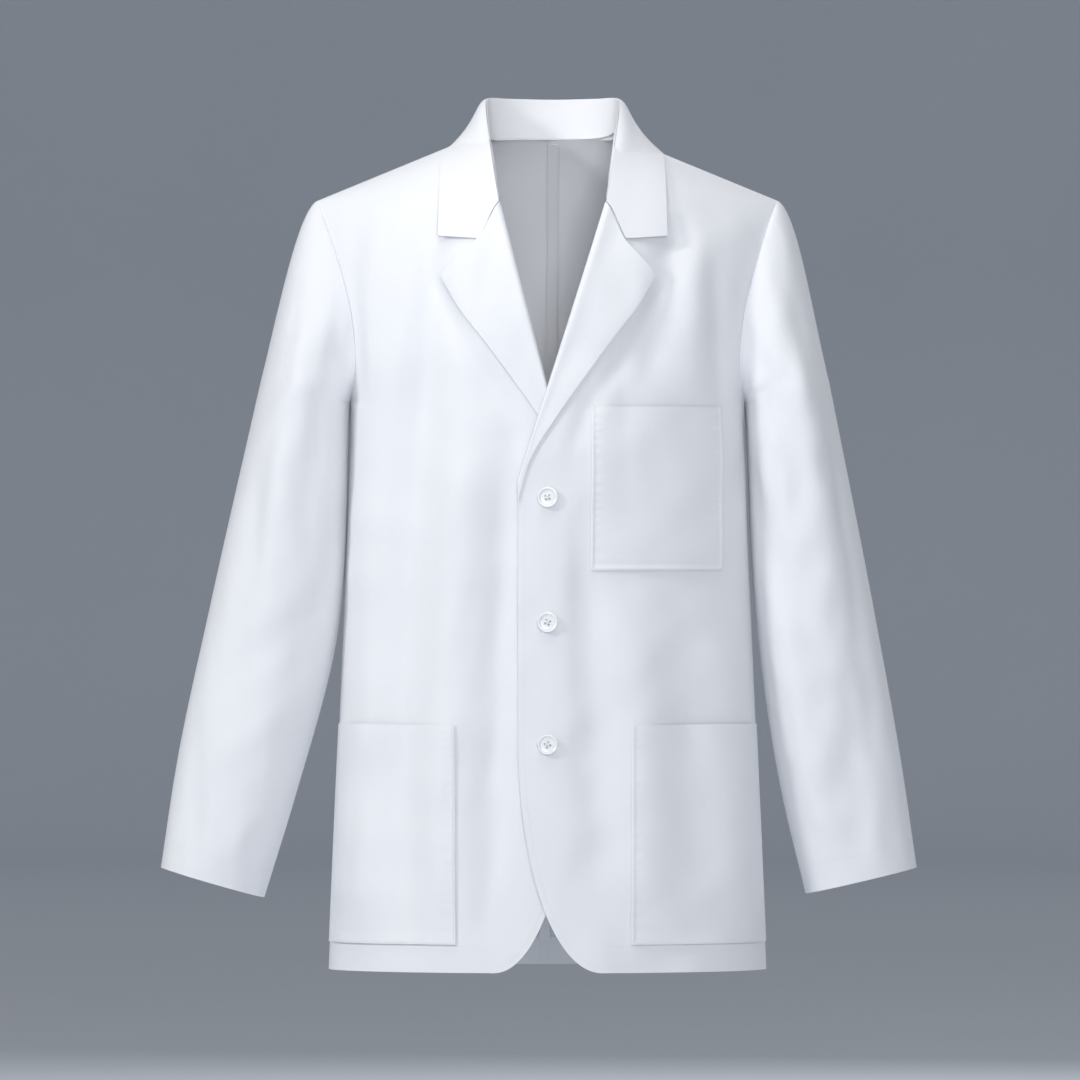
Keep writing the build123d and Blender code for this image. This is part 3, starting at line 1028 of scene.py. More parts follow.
        tailor.fit(self.bar_tacks(self.tacks()), "thread", self.bend, (f"{word}_pocket_tacks",))

    def stitching(self) -> Needle:
        """Return all the stitching on this front."""
        return self.sew_edges()

    def tacks(self) -> tuple[tuple[float, float], ...]:
        """Return where the bar tacks are."""
        return ((self.pocket_edge + 0.0012, self.pocket_top),)


@dataclass
class ButtonholeFront(Front):
    """The left front, which laps over the right, with the chest pocket and the buttonholes.

    Attributes:
        chest: Chest pocket: inner edge, outer edge, mouth, foot.
        hole: Length of a buttonhole.
    """

    chest: tuple[float, float, float, float] = (0.0400, 0.1610, -0.2555, -0.4070)
    hole: float = 0.0210

    def stitching(self) -> Needle:
        """Return all the stitching on this front."""
        needle = self.sew_edges()
        self.sew_patch(needle, *self.chest)
        return needle

    def tacks(self) -> tuple[tuple[float, float], ...]:
        """Return where the bar tacks are."""
        inner, outer, mouth, _ = self.chest
        return (*super().tacks(), (inner + 0.0012, mouth), (outer - 0.0012, mouth))

    def buttonhole(self, name: str, height: float) -> bpy.types.Object:
        """Return the worked edge of one buttonhole."""
        turn = np.linspace(0, 2 * math.pi, 120)
        reach, rise = self.hole / 2, 0.0011
        x = reach * np.sign(np.cos(turn)) * np.abs(np.cos(turn)) ** 0.5
        z = height + rise * np.sign(np.sin(turn)) * np.abs(np.sin(turn)) ** 0.7
        lift = self.lie(x, z) + CLOTH_T / 2
        needle = Needle(radius=0.00022)
        needle.satin(*sewn_line(self.form, x, z, lift, self.side), width=0.0014, pitch=0.0004)
        return needle.piece(name)

    def build(self, tailor: Tailor) -> None:
        """Make and dress this front."""
        super().build(tailor)
        chest = self.patch(*self.chest, gape=(0.100, 0.050, 0.0016))
        tailor.sew("chest_pocket_cloth", chest, self.bend, ("chest_pocket",), (0.142, 0.190),
                   thickness=POCKET_T)
        for word in Button.WORDS:
            height = (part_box(f"{word}_button")[0][2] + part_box(f"{word}_button")[1][2]) / 2
            piece = self.buttonhole(f"{word}_buttonhole_stitches", height)
            tailor.fit(piece, "thread", self.bend, (f"{word}_buttonhole",))


# ---------------------------------------------------------------- the back
@dataclass
class Back:
    """The two back panels with their seams and hem.

    Attributes:
        folds: Long folds of the back.
        nape: Height of the neck seam at the centre back.
    """

    folds: tuple[Fold, ...]
    nape: float = -0.0045

    def __post_init__(self) -> None:
        """Make the form that the back lies on."""
        self.form = Form(Face.BACK, self.folds, Ripple(41))

    def panel(self, side: Side) -> Layout:
        """Return one back panel, from the neck and the shoulder seam to the hem."""
        count = round(0.29 / PANEL_STEP)
        share, outer_z = armhole_rows(84)
        upper_x = self.form.columns(np.zeros_like(outer_z), armhole_x(outer_z), outer_z, count)
        neck = self.nape * (1 - np.clip(upper_x[0] / NECK, 0, 1) ** 8) + 0.0015
        seam_z = np.where(upper_x[0] < NECK, neck, shoulder_line(upper_x[0]))
        upper_z = seam_z + (ARM_Z - seam_z) * share[:, None]
        lower_z = np.linspace(ARM_Z, HEM_Z, 150)[1:]
        lower_x = self.form.columns(np.zeros_like(lower_z),
                                    self.form.half_width(lower_z), lower_z, count)
        x = np.concatenate([upper_x, lower_x])
        z = np.concatenate([upper_z, np.repeat(lower_z[:, None], count, axis=1)])
        return Layout(self.form.place(x * side.value, z))

    def band(self, inner: np.ndarray, outer: np.ndarray, z: np.ndarray, count: int,
             depth: np.ndarray | float) -> Layout:
        """Return a band inside the back, depth below its cloth."""
        x = self.form.columns(inner, outer, z, count)
        return Layout(self.form.place(x, np.repeat(z[:, None], count, axis=1), -depth))

    def shoulder_tape(self, side: Side) -> Layout:
        """Return the tape inside a shoulder seam, on its back half."""
        x = np.linspace(NECK + 0.004, 0.200, 60)[:, None]
        z = shoulder_line(x) - np.linspace(0.0001, 0.0011, 7)[None, :]
        return Layout(self.form.place(x * side.value, z, -0.0012))

    def build(self, tailor: Tailor) -> None:
        """Make and dress the back."""
        torso = Ride("torso")
        for side in Side:
            word = side.word
            tailor.sew(f"{word}_back_panel", self.panel(side), torso,
                       (f"back_{word}",), (0.310, 0.830))
            z = np.linspace(ARM_Z - 0.008, HEM_Z + HEM_DEPTH, 120)
            width = self.form.half_width(z)
            tape = self.band(side.value * (width - 0.0013),
                             side.value * width * 0.9975, z, 7, 0.0011)
            tailor.sew(f"{word}_side_seam_tape", tape, torso,
                       (f"{word}_side_seam",), (0.012, 0.500))
            name = f"{word}_shoulder_seam_tape"
            tailor.sew(name, self.shoulder_tape(side), torso,
                       (f"{word}_shoulder_seam",), (0.014, 0.160))
        z = np.linspace(self.nape - 0.001, HEM_Z + HEM_DEPTH - 0.002, 170)
        lean = np.linspace(0.0045, -0.0045, len(z))
        tape = self.band(lean - 0.0035, lean + 0.0070, z, 9, np.linspace(0.0032, 0.0046, 9))
        tailor.sew("centre_back_tape", tape, torso, ("centre_back_seam",), (0.012, 0.745))
        z = np.linspace(HEM_Z + HEM_DEPTH, HEM_Z + 0.0003, 9)
        width = self.form.half_width(z) - 0.0006
        hem = self.band(-width, width, z, 110, 0.0011)
        tailor.sew("back_hem_band", hem, torso, ("back_hem",), (0.500, 0.030))
        tailor.fit(self.stitching().piece("back_stitching"), "thread", torso)

    def stitching(self) -> Needle:
        """Return the stitching of the back: centre seam and hem."""
        needle = Needle()
        z = np.linspace(self.nape - 0.004, HEM_Z + 0.003, 500)
        needle.run(*sewn_line(self.form, np.full_like(z, 0.0045), z, CLOTH_T / 2, Side.LEFT))
        lean = np.linspace(0.0045, -0.0045, len(z))
        for edge, depth in ((-0.0022, 0.0034), (0.0058, 0.0045)):
            line, normal = sewn_line(self.form, lean + edge, z, -depth - CLOTH_T / 2, Side.LEFT)
            needle.run(line, -normal)
        x = np.linspace(-0.199, 0.199, 700)
        needle.run(*sewn_line(self.form, x, np.full_like(x, HEM_Z + HEM_DEPTH - 0.0015),
                              CLOTH_T / 2, Side.LEFT))
        return needle


# ---------------------------------------------------------------- the collar
@dataclass
class Collar:
    """The collar: its stand, and the fall that turns over it.

    Places run from 0 at the centre back to 1 at the gorge, and are given for the left half.
    """

    places: tuple = (0.0, 0.14, 0.28, 0.42, 0.55, 0.68, 0.84, 1.0)
    fold_x: tuple = (0.0, 0.0230, 0.0430, 0.0580, 0.0622, 0.0610, 0.0560, 0.0498)
    fold_y: tuple = (0.0620, 0.0590, 0.0490, 0.0310, 0.0080, -0.0170, -0.0480, -0.0785)
    fold_z: tuple = (0.0335, 0.0338, 0.0340, 0.0340, 0.0300, 0.0115, -0.0260, -0.0650)
    rim_x: tuple = (0.0, 0.0340, 0.0640, 0.0870, 0.0990, 0.1030, 0.1050, 0.1062)
    rim_y: tuple = (0.0810, 0.0780, 0.0680, 0.0480, 0.0200, -0.0080, -0.0430, -0.0780)
    rim_z: tuple = (-0.0290, -0.0290, -0.0285, -0.0270, -0.0220, -0.0195, -0.0500, -0.0970)
    seam_x: tuple = (0.0, 0.0225, 0.0415, 0.0545, 0.0590, 0.0585, 0.0545, 0.0498)
    seam_y: tuple = (0.0515, 0.0485, 0.0365, 0.0185, 0.0010, -0.0260, -0.0530, -0.0765)
    seam_z: tuple = (-0.0040, -0.0042, -0.0048, -0.0055, -0.0050, -0.0090, -0.0310, -0.0650)
    shift: float = 0.0047

    def line(self, xs: tuple, ys: tuple, zs: tuple, at: np.ndarray) -> np.ndarray:
        """Read one of the collar's lines all round, from the right gorge to the left."""
        knots = tuple(-p for p in self.places[:0:-1]) + self.places
        even = [tuple(v[:0:-1]) + v for v in (ys, zs)]
        odd = tuple(-v for v in xs[:0:-1]) + xs
        return np.stack([flowing(at, knots, odd) + self.shift,
                         *(flowing(at, knots, v) for v in even)], axis=-1)

    def fall(self) -> Layout:
        """Return the fall, rolled over the stand and lying on the shoulders and the chest."""
        at = np.linspace(-1, 1, 240)
        fold = self.line(self.fold_x, self.fold_y, self.fold_z, at)
        rim = self.line(self.rim_x, self.rim_y, self.rim_z, at)
        out = np.linspace(0, 1, 40) ** 1.1
        points = fold[:, None] + (rim - fold)[:, None] * out[None, :, None]
        end = np.abs(at)[:, None] ** 24
        kink = (1 - np.abs(out - 0.36) / np.where(out < 0.36, 0.36, 0.64))[None, :]
        points[..., 0] += np.sign(at)[:, None] * -0.0030 * end * kink
        points[..., 2] += -0.0235 * end * kink
        far = np.linalg.norm(rim - fold, axis=-1)[:, None] * out
        roll = 0.0026 * (far / 0.007) * np.exp(1 - far / 0.007)
        away = unit(np.stack([points[..., 0], points[..., 1],
                              np.full(points.shape[:2], 0.035)], axis=-1))
        points = points + away * roll[..., None]
        return Layout(self.rest(points, 0.0028 + 0.0030 * ease(out, 0.3, 1.0)[None, :]))

    def rest(self, points: np.ndarray, height: np.ndarray) -> np.ndarray:
        """Keep the collar's points outside the cloth that they lie on."""
        x, z = np.abs(points[..., 0]), points[..., 2]
        height = np.broadcast_to(height, x.shape)
        for face in Face:
            laid = Form(face, (), Ripple(1, height=0.0)).place(x, z, height)
            drop = shoulder_line(x) - z
            outside = laid[..., 1] * face.value
            here = (points[..., 1] * face.value > 0) & (drop > 0)
            y = points[..., 1] * face.value
            points[..., 1] = np.where(here, np.maximum(y, outside) * face.value, points[..., 1])
        return points

    def stand(self) -> Layout:
        """Return the stand, from the neck seam up to the fold."""
        at = np.linspace(-0.985, 0.985, 200)
        seam = self.line(self.seam_x, self.seam_y, self.seam_z, at)
        fold = self.line(self.fold_x, self.fold_y, self.fold_z, at)
        up = np.linspace(0, 1, 16)
        points = seam[:, None] + (fold - seam)[:, None] * up[None, :, None]
        inward = -unit(points * np.array([1.0, 1.0, 0.0]))
        return Layout(points + inward * 0.0008)

    def stitching(self, fall: Layout) -> Needle:
        """Return the stitching round the fall's edge and along the neck seam."""
        needle = Needle()
        normals = fall.normals()
        lines = [(fall.points[:, -5], normals[:, -5])]
        for line, normal in lines:
            needle.run(line + normal * (CLOTH_T / 2 + 0.0003), normal)
        at = np.linspace(-0.9, 0.9, 400)
        seam = self.line(self.seam_x, self.seam_y, self.seam_z, at) + np.array([0, 0, 0.0018])
        inward = -unit(seam * np.array([1.0, 1.0, 0.0]))
        needle.run(seam + inward * 0.0013, inward)
        return needle

    def build(self, tailor: Tailor) -> None:
        """Make and dress the collar."""
        torso = Ride("torso")
        fall = self.fall()
        nodes = ("collar_fall", "left_collar_wing", "right_collar_wing")
        tailor.sew("collar_fall_cloth", fall, torso, nodes, (0.560, 0.085), thickness=0.0015)
        tailor.sew("collar_stand_cloth", self.stand(), torso, ("collar_stand",), (0.470, 0.045))
        tailor.fit(self.stitching(fall).piece("collar_stitching"), "thread", torso)


# ---------------------------------------------------------------- the sleeves
@dataclass
class Sleeve:
    """One set-in sleeve, hanging from its armhole, with its turned-up cuff.

    Attributes:
        side: Which sleeve.
        cuff: Middle of the cuff, x and z, for the left side.
        cuff_half: Half the cuff's width, seen from in front.
        cuff_tilt: Angle of the cuff, in degrees.
        cap: Middle and half width at the underarm.
        elbow: Middle and half width at the elbow.
        forearm: Middle and half width at the forearm.
        folds: Folds: path of turn (0 outer, 1 inner, by the front) and length, width, length fade, height.
        seed: Fixes its unevenness.
    """

    side: Side
    cuff: tuple[float, float]
    cuff_half: float
    cuff_tilt: float
    cap: tuple[float, float]
    elbow: tuple[float, float]
    forearm: tuple[float, float]
    folds: tuple[tuple[float, float, float, float, float, float], ...]
    seed: int
    cap_rows: int = 40
    arm_rows: int = 130
    columns: int = 108
    cap_z: float = -0.2416
    elbow_z: float = -0.457
    fore_z: float = -0.603
    cap_tilt: float = 14.35
    hem: float = 0.028

    def turn(self) -> np.ndarray:
        """Return the angle of each column, from the outer edge round by the front."""
        return np.linspace(0, 2 * math.pi, self.columns, endpoint=False)

    def armhole(self) -> np.ndarray:
        """Return the armhole's edge as a loop of points."""
        turn = self.turn()
        down = (1 - np.cos(turn)) / 2
        z = SHOULDER_TIP[1] + (ARM_Z - SHOULDER_TIP[1]) * down
        loop = np.zeros((self.columns, 3))
        for face, mask in ((Face.FRONT, turn <= math.pi), (Face.BACK, turn > math.pi)):
            form = Form(face, (), Ripple(1, height=0.0))
            loop[mask] = form.place(armhole_x(z[mask]), z[mask])
        return loop

    def ring(self, share: float) -> np.ndarray:
        """Return one ring of the arm.

        Args:
            share: 0 at the underarm and 1 at the cuff.

        Returns:
            The ring's points.
        """
        turn = self.turn()
        z = self.cap_z + (self.cuff[1] - self.cap_z) * share
        knots = (self.cuff[1], self.fore_z, self.elbow_z, self.cap_z)
        x = float(flowing(z, knots, (self.cuff[0], self.forearm[0], self.elbow[0], self.cap[0])))
        half = float(flowing(z, knots,
                             (self.cuff_half, self.forearm[1], self.elbow[1], self.cap[1])))
        deep = float(flowing(z, knots, (0.0430, 0.0500, 0.0580, 0.0700)))
        tilt = math.radians(self.cap_tilt + (self.cuff_tilt - self.cap_tilt) * share)
        across = np.array([math.cos(tilt), 0.0, math.sin(tilt)])
        squash = np.sign(np.cos(turn)) * np.abs(np.cos(turn)) ** 0.92
        ring = np.array([x, 0.0065 - 0.004 * share, z]) + across * (half * squash)[:, None]
        ring[:, 1] -= deep * np.sin(turn)
        return ring

    def surface(self) -> Layout:
        """Return the whole sleeve's cloth."""
        loop, first = self.armhole(), self.ring(0.0)
        turn = self.turn()
        chord = np.linalg.norm(first - loop, axis=1)[:, None]
        outward = unit(np.stack([np.full_like(turn, 0.9), -0.75 * np.sin(turn),
                                 np.full_like(turn, -0.42)], axis=-1))
        tilt = math.radians(self.cap_tilt)
        down = np.array([math.sin(tilt), 0.0, -math.cos(tilt)])
        leave, arrive = outward * chord * 0.36, down[None, :] * chord * 0.95
        rows = []
        for t in np.linspace(0, 1, self.cap_rows)[:-1]:
            a, b = 1 - 3 * t**2 + 2 * t**3, 3 * t**2 - 2 * t**3
            rows.append(loop * a + first * b + leave * (t - 2 * t**2 + t**3) + arrive
                        * (t**3 - t**2))
        rows += [self.ring(share) for share in np.linspace(0, 1, self.arm_rows)]
        return Layout(np.array(rows), tube=True, hub=(0.245, 0.006))

    def relief(self) -> np.ndarray:
        """Return the height of the folds at each row and column."""
        arm = np.concatenate([np.linspace(-0.36, 0, self.cap_rows)[:-1],
                              np.linspace(0, 1, self.arm_rows)])[:, None]
        turn = self.turn()[None, :] / math.pi
        total = np.zeros((len(arm), self.columns))
        for turn_top, turn_foot, top, foot, width, height in self.folds:
            share = np.clip((arm - top) / (foot - top), 0, 1)
            middle = turn_top + (turn_foot - turn_top) * share
            gap = (turn - middle + 1) % 2 - 1
            fade = ease(arm, top - 0.05, top + 0.12) * ease(arm, foot + 0.05, foot - 0.12)
            total += height * np.exp(-((gap / width) ** 2)) * fade
        ripple = Ripple(self.seed, longest=0.10, height=0.0005).at(turn * 0.16, arm * 0.45)
        wraps = np.sin(turn * math.pi) ** 2
        head = 0.0024 * ease(arm, -0.3601, -0.345) * ease(arm, -0.10,
                                                          -0.33) * ease(np.cos(turn
                                                                               * math.pi), -0.9, 0.2)
        head = head * (1 - 0.85 * ease(np.cos(turn * math.pi), 0.80, 1.0))
        return head + (total + ripple * wraps) * ease(arm, -0.36, -0.26) * ease(arm, 1.15, 0.85)

    def mirrored(self, layout: Layout) -> Layout:
        """Return the layout on this sleeve's own side."""
        sign = self.side.value
        return Layout(layout.points * np.array([sign, 1.0, 1.0]), layout.tube,
                      (layout.hub[0] * sign, layout.hub[1]))

    def facing_out(self, points: np.ndarray) -> np.ndarray:
        """Return normals that point away from the arm's middle line."""
        grid = Layout(points, tube=True)
        normal = unit(np.cross(grid.across(), np.gradient(points, axis=0)))
        middle = points.mean(axis=1, keepdims=True)
        return normal * np.sign((normal * (points - middle)).sum(axis=-1, keepdims=True) + 1e-12)

    def folded(self) -> Layout:
        """Return the sleeve's cloth with its folds, on the left side."""
        plain = self.surface()
        normal = self.facing_out(plain.points)
        return Layout(plain.points + normal * self.relief()[..., None], True, plain.hub)

    def build(self, tailor: Tailor) -> None:
        """Make and dress this sleeve."""
        word = self.side.word
        cloth = self.folded()
        nodes = (f"{word}_sleeve", f"{word}_sleeve_head", f"{word}_sleeve_crook")
        bend = sleeve_bend(self.side)
        tailor.sew(f"{word}_sleeve_cloth", self.mirrored(cloth), bend, nodes, (0.400, 0.660))
        length = abs(self.cuff[1] - self.cap_z)
        rows = round(self.hem / length * self.arm_rows)
        normal = self.facing_out(cloth.points)
        inner = cloth.points[-rows - 1 :] - normal[-rows - 1 :] * 0.0011
        band = self.mirrored(Layout(inner, True, cloth.hub))
        hem = tailor.sew(f"{word}_cuff_hem", band, bend, (f"{word}_sleeve_hem",), (0.310, 0.032))
        log.info("%s is %d rows deep", hem.name, rows)
        needle = Needle()
        row = -rows - 1 + 1
        line = cloth.points[row] + normal[row] * CLOTH_T / 2
        closed = np.concatenate([line, line[:1]]) * np.array([self.side.value, 1, 1])
        facing = np.concatenate([normal[row], normal[row][:1]]) * np.array([self.side.value, 1, 1])
        needle.run(closed, facing)
        tailor.fit(needle.piece(f"{word}_sleeve_stitching"), "thread", bend)


# ---------------------------------------------------------------- the buttons
@dataclass
class Button:
    """A four-hole button with its stitches.

    Attributes:
        word: Which button.
        twist: How far it is turned, in degrees.
    """

    WORDS = ("top", "middle", "bottom")
    word: str
    twist: float
    thickness: float = 0.0030
    dish: float = 0.0009
    rim: float = 0.0019
    hole: float = 0.00095
    spacing: float = 0.0017
    clear: float = 0.0026
    steps: int = 56

    def centre(self) -> Vector:
        """Return the middle of the button's back."""
        low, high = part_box(f"{self.word}_button")
        return Vector(((low[0] + high[0]) / 2, high[1] - self.clear, (low[2] + high[2]) / 2))

    def profile(self) -> list[tuple[float, float]]:
        """Return the outline from the middle of the back to the middle of the front: radius, height."""
        radius, top = BUTTON_RADIUS, self.thickness
        outline = [(0.0, 0.0), (radius * 0.62, 0.0), (radius * 0.86, 0.0003),
                   (radius * 0.96, 0.0009)]
        outline += [(radius, 0.0015), (radius * 0.985, top - 0.0006), (radius * 0.94, top - 0.0001)]
        outline += [(radius - self.rim * 0.72, top), (radius - self.rim, top - 0.0002)]
        outline += [(radius - self.rim * 1.25, top - self.dish * 0.8),
                    (radius - self.rim * 1.7, top - self.dish)]
        return outline + [(radius * 0.30, top - self.dish * 0.86), (0.0, top - self.dish * 0.80)]

    def disc(self) -> bpy.types.Object:
        """Return the moulding, turned; its holes are cut in moulding."""
        mesh = bmesh.new()
        rings = []
        for radius, height in self.profile():
            if radius == 0:
                rings.append([mesh.verts.new((0, -height, 0))])
                continue
            turns = [2 * math.pi * k / self.steps for k in range(self.steps)]
            rings.append([mesh.verts.new((radius * math.cos(t), -height,
                                          radius * math.sin(t))) for t in turns])
        for low, high in zip(rings, rings[1:]):
            for k in range(self.steps):
                corners = [low[k % len(low)], low[(k + 1) % len(low)], high[(k + 1) % len(high)],
                           high[k % len(high)]]
                mesh.faces.new(list(dict.fromkeys(corners)))
        bmesh.ops.recalc_face_normals(mesh, faces=mesh.faces)
        return self.object_from(mesh, f"{self.word}_button_moulding")

    def object_from(self, mesh: bmesh.types.BMesh, name: str) -> bpy.types.Object:
        """Turn a bmesh into an object."""
        data = bpy.data.meshes.new(name)
        mesh.to_mesh(data)
        mesh.free()
        piece = bpy.data.objects.new(name, data)
        bpy.context.scene.collection.objects.link(piece)
        return piece

    def drills(self) -> bpy.types.Object:
        """Return four rods where the holes go."""
        mesh = bmesh.new()
        for x, z in self.holes():
            made = bmesh.ops.create_cone(mesh, cap_ends=True, segments=20, radius1=self.hole,
                                         radius2=self.hole, depth=0.02)
            for vertex in made["verts"]:
                vertex.co = Vector((vertex.co.x + x, vertex.co.z, vertex.co.y + z))
        bmesh.ops.recalc_face_normals(mesh, faces=mesh.faces)
        return self.object_from(mesh, f"{self.word}_drill")

    def holes(self) -> list[tuple[float, float]]:
        """Return the middles of the four holes."""
        turn = math.radians(self.twist)
        corners = [math.radians(45 + 90 * k) + turn for k in range(4)]
        reach = self.spacing * math.sqrt(2)
        return [(reach * math.cos(t), reach * math.sin(t)) for t in corners]

    def moulding(self) -> bpy.types.Object:
        """Return the finished button in its place."""
        piece, drill = self.disc(), self.drills()
        cut = piece.modifiers.new("holes", "BOOLEAN")
        cut.object, cut.operation, cut.solver = drill, "DIFFERENCE", "EXACT"
        bpy.context.view_layer.update()
        made = bpy.data.meshes.new_from_object(piece.evaluated_get(bpy.context.evaluated_depsgraph_get()))
        piece.modifiers.clear()
        piece.data = made
        bpy.data.objects.remove(drill)
        made.polygons.foreach_set("use_smooth", [True] * len(made.polygons))
        made.set_sharp_from_angle(angle=math.radians(40))
        centre = self.centre()
        for vertex in made.vertices:
            vertex.co += centre
        made.update()
        return piece

    def stitches(self) -> bpy.types.Object:
        """Return the thread: two crossed bars on the face and a wound shank behind."""
        centre = np.array(self.centre())
        holes = self.holes()
        face = self.thickness - self.dish * 0.8
        strands = []
        for one, two in ((0, 2), (1, 3)):
            for shift in (-0.00028, 0.0, 0.00028):
                share = np.linspace(0, 1, 15)
                start, end = np.array(holes[one]), np.array(holes[two])
                aside = np.array([-(end - start)[1],
                                  (end - start)[0]]) / np.linalg.norm(end - start) * shift
                flat = start + (end - start) * share[:, None] + aside
                rise = -face - 0.00045 + 0.0016 * (2 * share - 1) ** 6 - one * 0.0004
                strands.append(np.stack([flat[:, 0], rise, flat[:, 1]], axis=-1) + centre)
        turns = np.linspace(0, 12 * math.pi, 160)
        wound = np.stack([0.0008 * np.cos(turns), 0.0001 + turns / turns[-1] * 0.0052,
                          0.0008 * np.sin(turns)], axis=-1)
        strands.append(wound + centre)
        made = [tube(f"{self.word}_strand_{k}", line, 0.00024) for k, line in enumerate(strands)]
        return joined(made, f"{self.word}_button_stitches")

    def build(self, tailor: Tailor) -> None:
        """Make and dress the button and its stitches."""
        body = Ride(f"{self.word}_button")
        tailor.fit(self.moulding(), "button", body, (f"{self.word}_button",))
        tailor.fit(self.stitches(), "thread", body, (f"{self.word}_button_thread",))


def joined(pieces: list[bpy.types.Object], name: str) -> bpy.types.Object:
    """Return several objects as one, named."""
    mesh = bmesh.new()
    for piece in pieces:
        mesh.from_mesh(piece.data)
        bpy.data.objects.remove(piece)
    data = bpy.data.meshes.new(name)
    mesh.to_mesh(data)
    mesh.free()
    whole = bpy.data.objects.new(name, data)
    bpy.context.scene.collection.objects.link(whole)
    return whole


# ---------------------------------------------------------------- the studio
@dataclass
class Studio:
    """A pale floor that curves up into a wall, soft lights and a long lens.

    Attributes:
        floor_z: Height of the floor.
        aim: Point that the camera looks at.
        distance: From the camera to that point.
        lens: In millimetres.
    """

    floor_z: float = -1.02
    aim: tuple[float, float, float] = (-0.007, -0.1, -0.379)
    distance: float = 11.1
    lens: float = 400.0

    def backdrop(self, paint: bpy.types.Material) -> None:
        """Make the floor and the low wall round it as one shallow bowl."""
        bend, reach, wall, steps = 1.2, 14.0, 3.2, 96
        rise = np.linspace(0, math.pi / 2, 20)
        profile = [(0.02, 0.0), (4.0, 0.0),
                   *zip(reach - bend + bend * np.sin(rise), bend - bend * np.cos(rise))]
        profile.append((reach, wall))
        turn = np.linspace(0, 2 * math.pi, steps, endpoint=False)
        points = np.array([[(r * math.cos(t), r * math.sin(t),
                             self.floor_z + z) for t in turn] for r, z in profile])
        index = np.arange(len(profile) * steps).reshape(-1, steps)
        nxt = np.roll(index, -1, axis=1)
        faces = np.stack([index[:-1], nxt[:-1], nxt[1:], index[1:]], axis=-1).reshape(-1, 4)
        sweep = solid("studio_sweep", points.reshape(-1, 3), faces)
        sweep.data.materials.append(paint)

    def light(
        self,
        name: str,
        place: tuple[float, float, float],
        power: float,
        size: float,
        tint: tuple[float, float, float],
        at: tuple[float, float, float] | None = None,
    ) -> None:
        """Add one soft square light that faces the coat, or a point of it."""
        lamp = bpy.data.lights.new(name, "AREA")
        lamp.energy, lamp.size, lamp.color = power, size, tint
        holder = bpy.data.objects.new(name, lamp)
        holder.location = place
        holder.rotation_euler = (Vector(at or self.aim)
                                 - Vector(place)).to_track_quat("-Z", "Y").to_euler()
        holder.visible_camera = False
        bpy.context.scene.collection.objects.link(holder)

    def camera(self) -> None:
        """Add the camera, level and square to the front."""
        lens = bpy.data.cameras.new("camera")
        lens.lens, lens.clip_end = self.lens, 100.0
        holder = bpy.data.objects.new("camera", lens)
        holder.location = (self.aim[0], self.aim[1] - self.distance, self.aim[2])
        holder.rotation_euler = (math.pi / 2, 0.0, 0.0)
        bpy.context.scene.collection.objects.link(holder)
        bpy.context.scene.camera = holder

    def build(self) -> None:
        """Set the studio up."""
        self.backdrop(StudioPaint().make())
        self.light("key_light", (-2.9, -2.0, 1.3), 46.0, 0.6, (1.0, 0.99, 0.97))
        self.light("fill_light", (0.5, -4.4, 0.4), 66.0, 1.0, (0.97, 0.98, 1.0))
        self.light("top_light", (-0.2, -0.9, 2.6), 18.0, 1.0, (1.0, 1.0, 1.0))
        self.light("back_light", (0.6, 2.6, 1.0), 34.0, 1.8, (1.0, 1.0, 1.0))
        self.light("neck_light", (-0.10, -0.42, 0.20), 0.40, 0.12, (0.98, 0.99, 1.0),
                   (-0.01, 0.09, -0.20))
        bpy.context.scene.view_settings.view_transform = "Standard"
        world = bpy.data.worlds.new("studio_air")
        world.use_nodes = True
        world.node_tree.nodes["Background"].inputs["Color"].default_value = (0.93, 0.95, 1.0, 1)
        world.node_tree.nodes["Background"].inputs["Strength"].default_value = 0.33
        bpy.context.scene.world = world
        self.camera()


# ---------------------------------------------------------------- the coat
LEFT_FOLDS = (
    Fold(((0.119, -0.120), (0.072, -0.208), (0.042, -0.250), (0.016, -0.310)),
         0.012, -0.0018, 0.03),
    Fold(((0.030, -0.300), (0.044, -0.520), (0.050, -0.779)), 0.020, -0.0040, 0.16),
    Fold(((0.085, -0.420), (0.088, -0.600), (0.092, -0.779)), 0.024, 0.0030, 0.12),
    Fold(((0.128, -0.410), (0.132, -0.600), (0.140, -0.779)), 0.022, -0.0028, 0.14),
    Fold(((0.168, -0.420), (0.170, -0.600), (0.174, -0.779)), 0.016, 0.0022, 0.12),
    Fold(((0.122, -0.060), (0.106, -0.170), (0.088, -0.250)), 0.018, -0.0036, 0.05),
    Fold(((0.136, -0.070), (0.136, -0.170), (0.140, -0.270)), 0.014, 0.0018, 0.06),
    Fold(((0.152, -0.090), (0.160, -0.200), (0.168, -0.330)), 0.010, -0.0016, 0.07),
)
RIGHT_FOLDS = (
    Fold(((0.118, -0.085), (0.113, -0.150), (0.122, -0.300)), 0.013, -0.0026, 0.05),
    Fold(((0.119, -0.120), (0.070, -0.208), (0.045, -0.250), (0.020, -0.310)),
         0.012, -0.0022, 0.03),
    Fold(((0.150, -0.120), (0.160, -0.400), (0.165, -0.779)), 0.020, 0.0032, 0.12),
    Fold(((0.100, -0.130), (0.128, -0.400), (0.136, -0.779)), 0.021, -0.0044, 0.10),
    Fold(((0.070, -0.230), (0.088, -0.450), (0.098, -0.779)), 0.021, 0.0040, 0.12),
    Fold(((0.034, -0.270), (0.046, -0.500), (0.054, -0.779)), 0.017, -0.0042, 0.12),
    Fold(((0.120, -0.050), (0.105, -0.130), (0.098, -0.200)), 0.018, -0.0028, 0.05),
    Fold(((0.150, -0.070), (0.166, -0.160), (0.172, -0.250)), 0.012, 0.0018, 0.05),
)
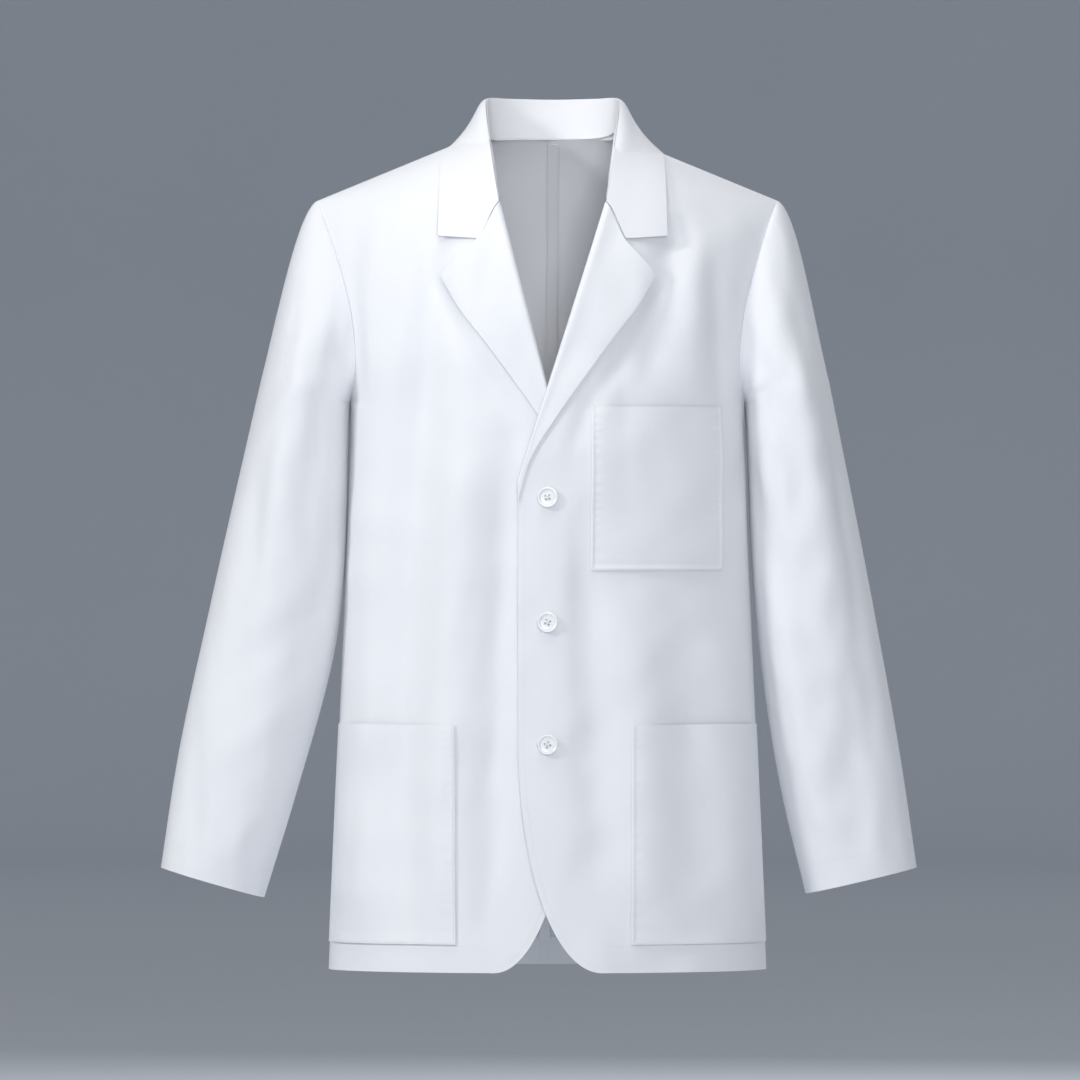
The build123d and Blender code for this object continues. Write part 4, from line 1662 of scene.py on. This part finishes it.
BACK_FOLDS = (
    Fold(((0.090, -0.120), (0.075, -0.400), (0.085, -0.779)), 0.026, -0.0042, 0.14),
    Fold(((-0.095, -0.130), (-0.080, -0.420), (-0.090, -0.779)), 0.026, -0.0045, 0.14),
    Fold(((0.140, -0.160), (0.135, -0.450), (0.140, -0.779)), 0.022, 0.0036, 0.14),
    Fold(((-0.142, -0.170), (-0.138, -0.450), (-0.150, -0.779)), 0.022, 0.0034, 0.14),
    Fold(((0.035, -0.250), (0.030, -0.500), (0.036, -0.779)), 0.018, 0.0026, 0.14),
    Fold(((-0.040, -0.280), (-0.034, -0.520), (-0.036, -0.779)), 0.018, 0.0024, 0.14),
)
LEFT_SLEEVE_FOLDS = (
    (0.62, 0.50, -0.30, 0.30, 0.10, -0.0042),
    (0.44, 0.36, -0.28, 0.45, 0.11, 0.0036),
    (0.22, 0.30, 0.10, 0.75, 0.08, -0.0030),
    (0.85, 0.50, 0.12, 0.55, 0.10, -0.0040),
    (0.68, 0.62, 0.35, 0.95, 0.10, 0.0042),
    (0.40, 0.52, 0.60, 1.00, 0.09, -0.0034),
    (1.30, 1.45, -0.20, 0.60, 0.12, -0.0040),
    (1.65, 1.55, 0.10, 0.90, 0.12, 0.0034),
)
RIGHT_SLEEVE_FOLDS = (
    (0.66, 0.58, -0.30, 0.35, 0.10, -0.0040),
    (0.46, 0.44, -0.28, 0.50, 0.10, 0.0038),
    (0.30, 0.42, 0.15, 0.72, 0.09, -0.0040),
    (0.82, 0.60, 0.20, 0.62, 0.09, -0.0036),
    (0.60, 0.56, 0.50, 1.00, 0.11, 0.0036),
    (0.28, 0.34, 0.66, 1.02, 0.10, -0.0032),
    (1.34, 1.42, -0.22, 0.55, 0.12, -0.0038),
    (1.60, 1.52, 0.15, 0.90, 0.12, 0.0034),
)


def main() -> None:
    """Make the coat from the back to the front, then the studio."""
    finishes = {"cloth": TwillCloth().make(), "thread": SewingThread().make(),
                "button": ButtonPlastic().make()}
    tailor = Tailor(finishes)
    Back(BACK_FOLDS).build(tailor)
    Front(Side.RIGHT, 0.022, 0.050, -0.0014, RIGHT_FOLDS, 0.0842, 0.0052, 0.0450, 11).build(tailor)
    ButtonholeFront(Side.LEFT, 0.027, 0.050, 0.0018, LEFT_FOLDS, 0.0765, 0.0060, 0.0545,
                    23).build(tailor)
    Collar().build(tailor)
    left = {"cap": (0.2235, 0.0405), "elbow": (0.2505, 0.0555), "forearm": (0.2748, 0.0572)}
    Sleeve(Side.LEFT, (0.2927, -0.6965), 0.0530, 13.2, folds=LEFT_SLEEVE_FOLDS, seed=31,
           **left).build(tailor)
    right = {"cap": (0.2258, 0.0430), "elbow": (0.2560, 0.0610), "forearm": (0.2908, 0.0572)}
    Sleeve(Side.RIGHT, (0.3126, -0.6984), 0.0500, 16.2, folds=RIGHT_SLEEVE_FOLDS, seed=37,
           **right).build(tailor)
    for word, twist in zip(Button.WORDS, (8.0, -22.0, 31.0)):
        Button(word, twist).build(tailor)
    Studio().build()
    log.info("%d pieces in all", len(tailor.made))


if __name__ == "__main__":
    logging.basicConfig(level=logging.INFO, format="%(message)s")
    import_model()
    main()
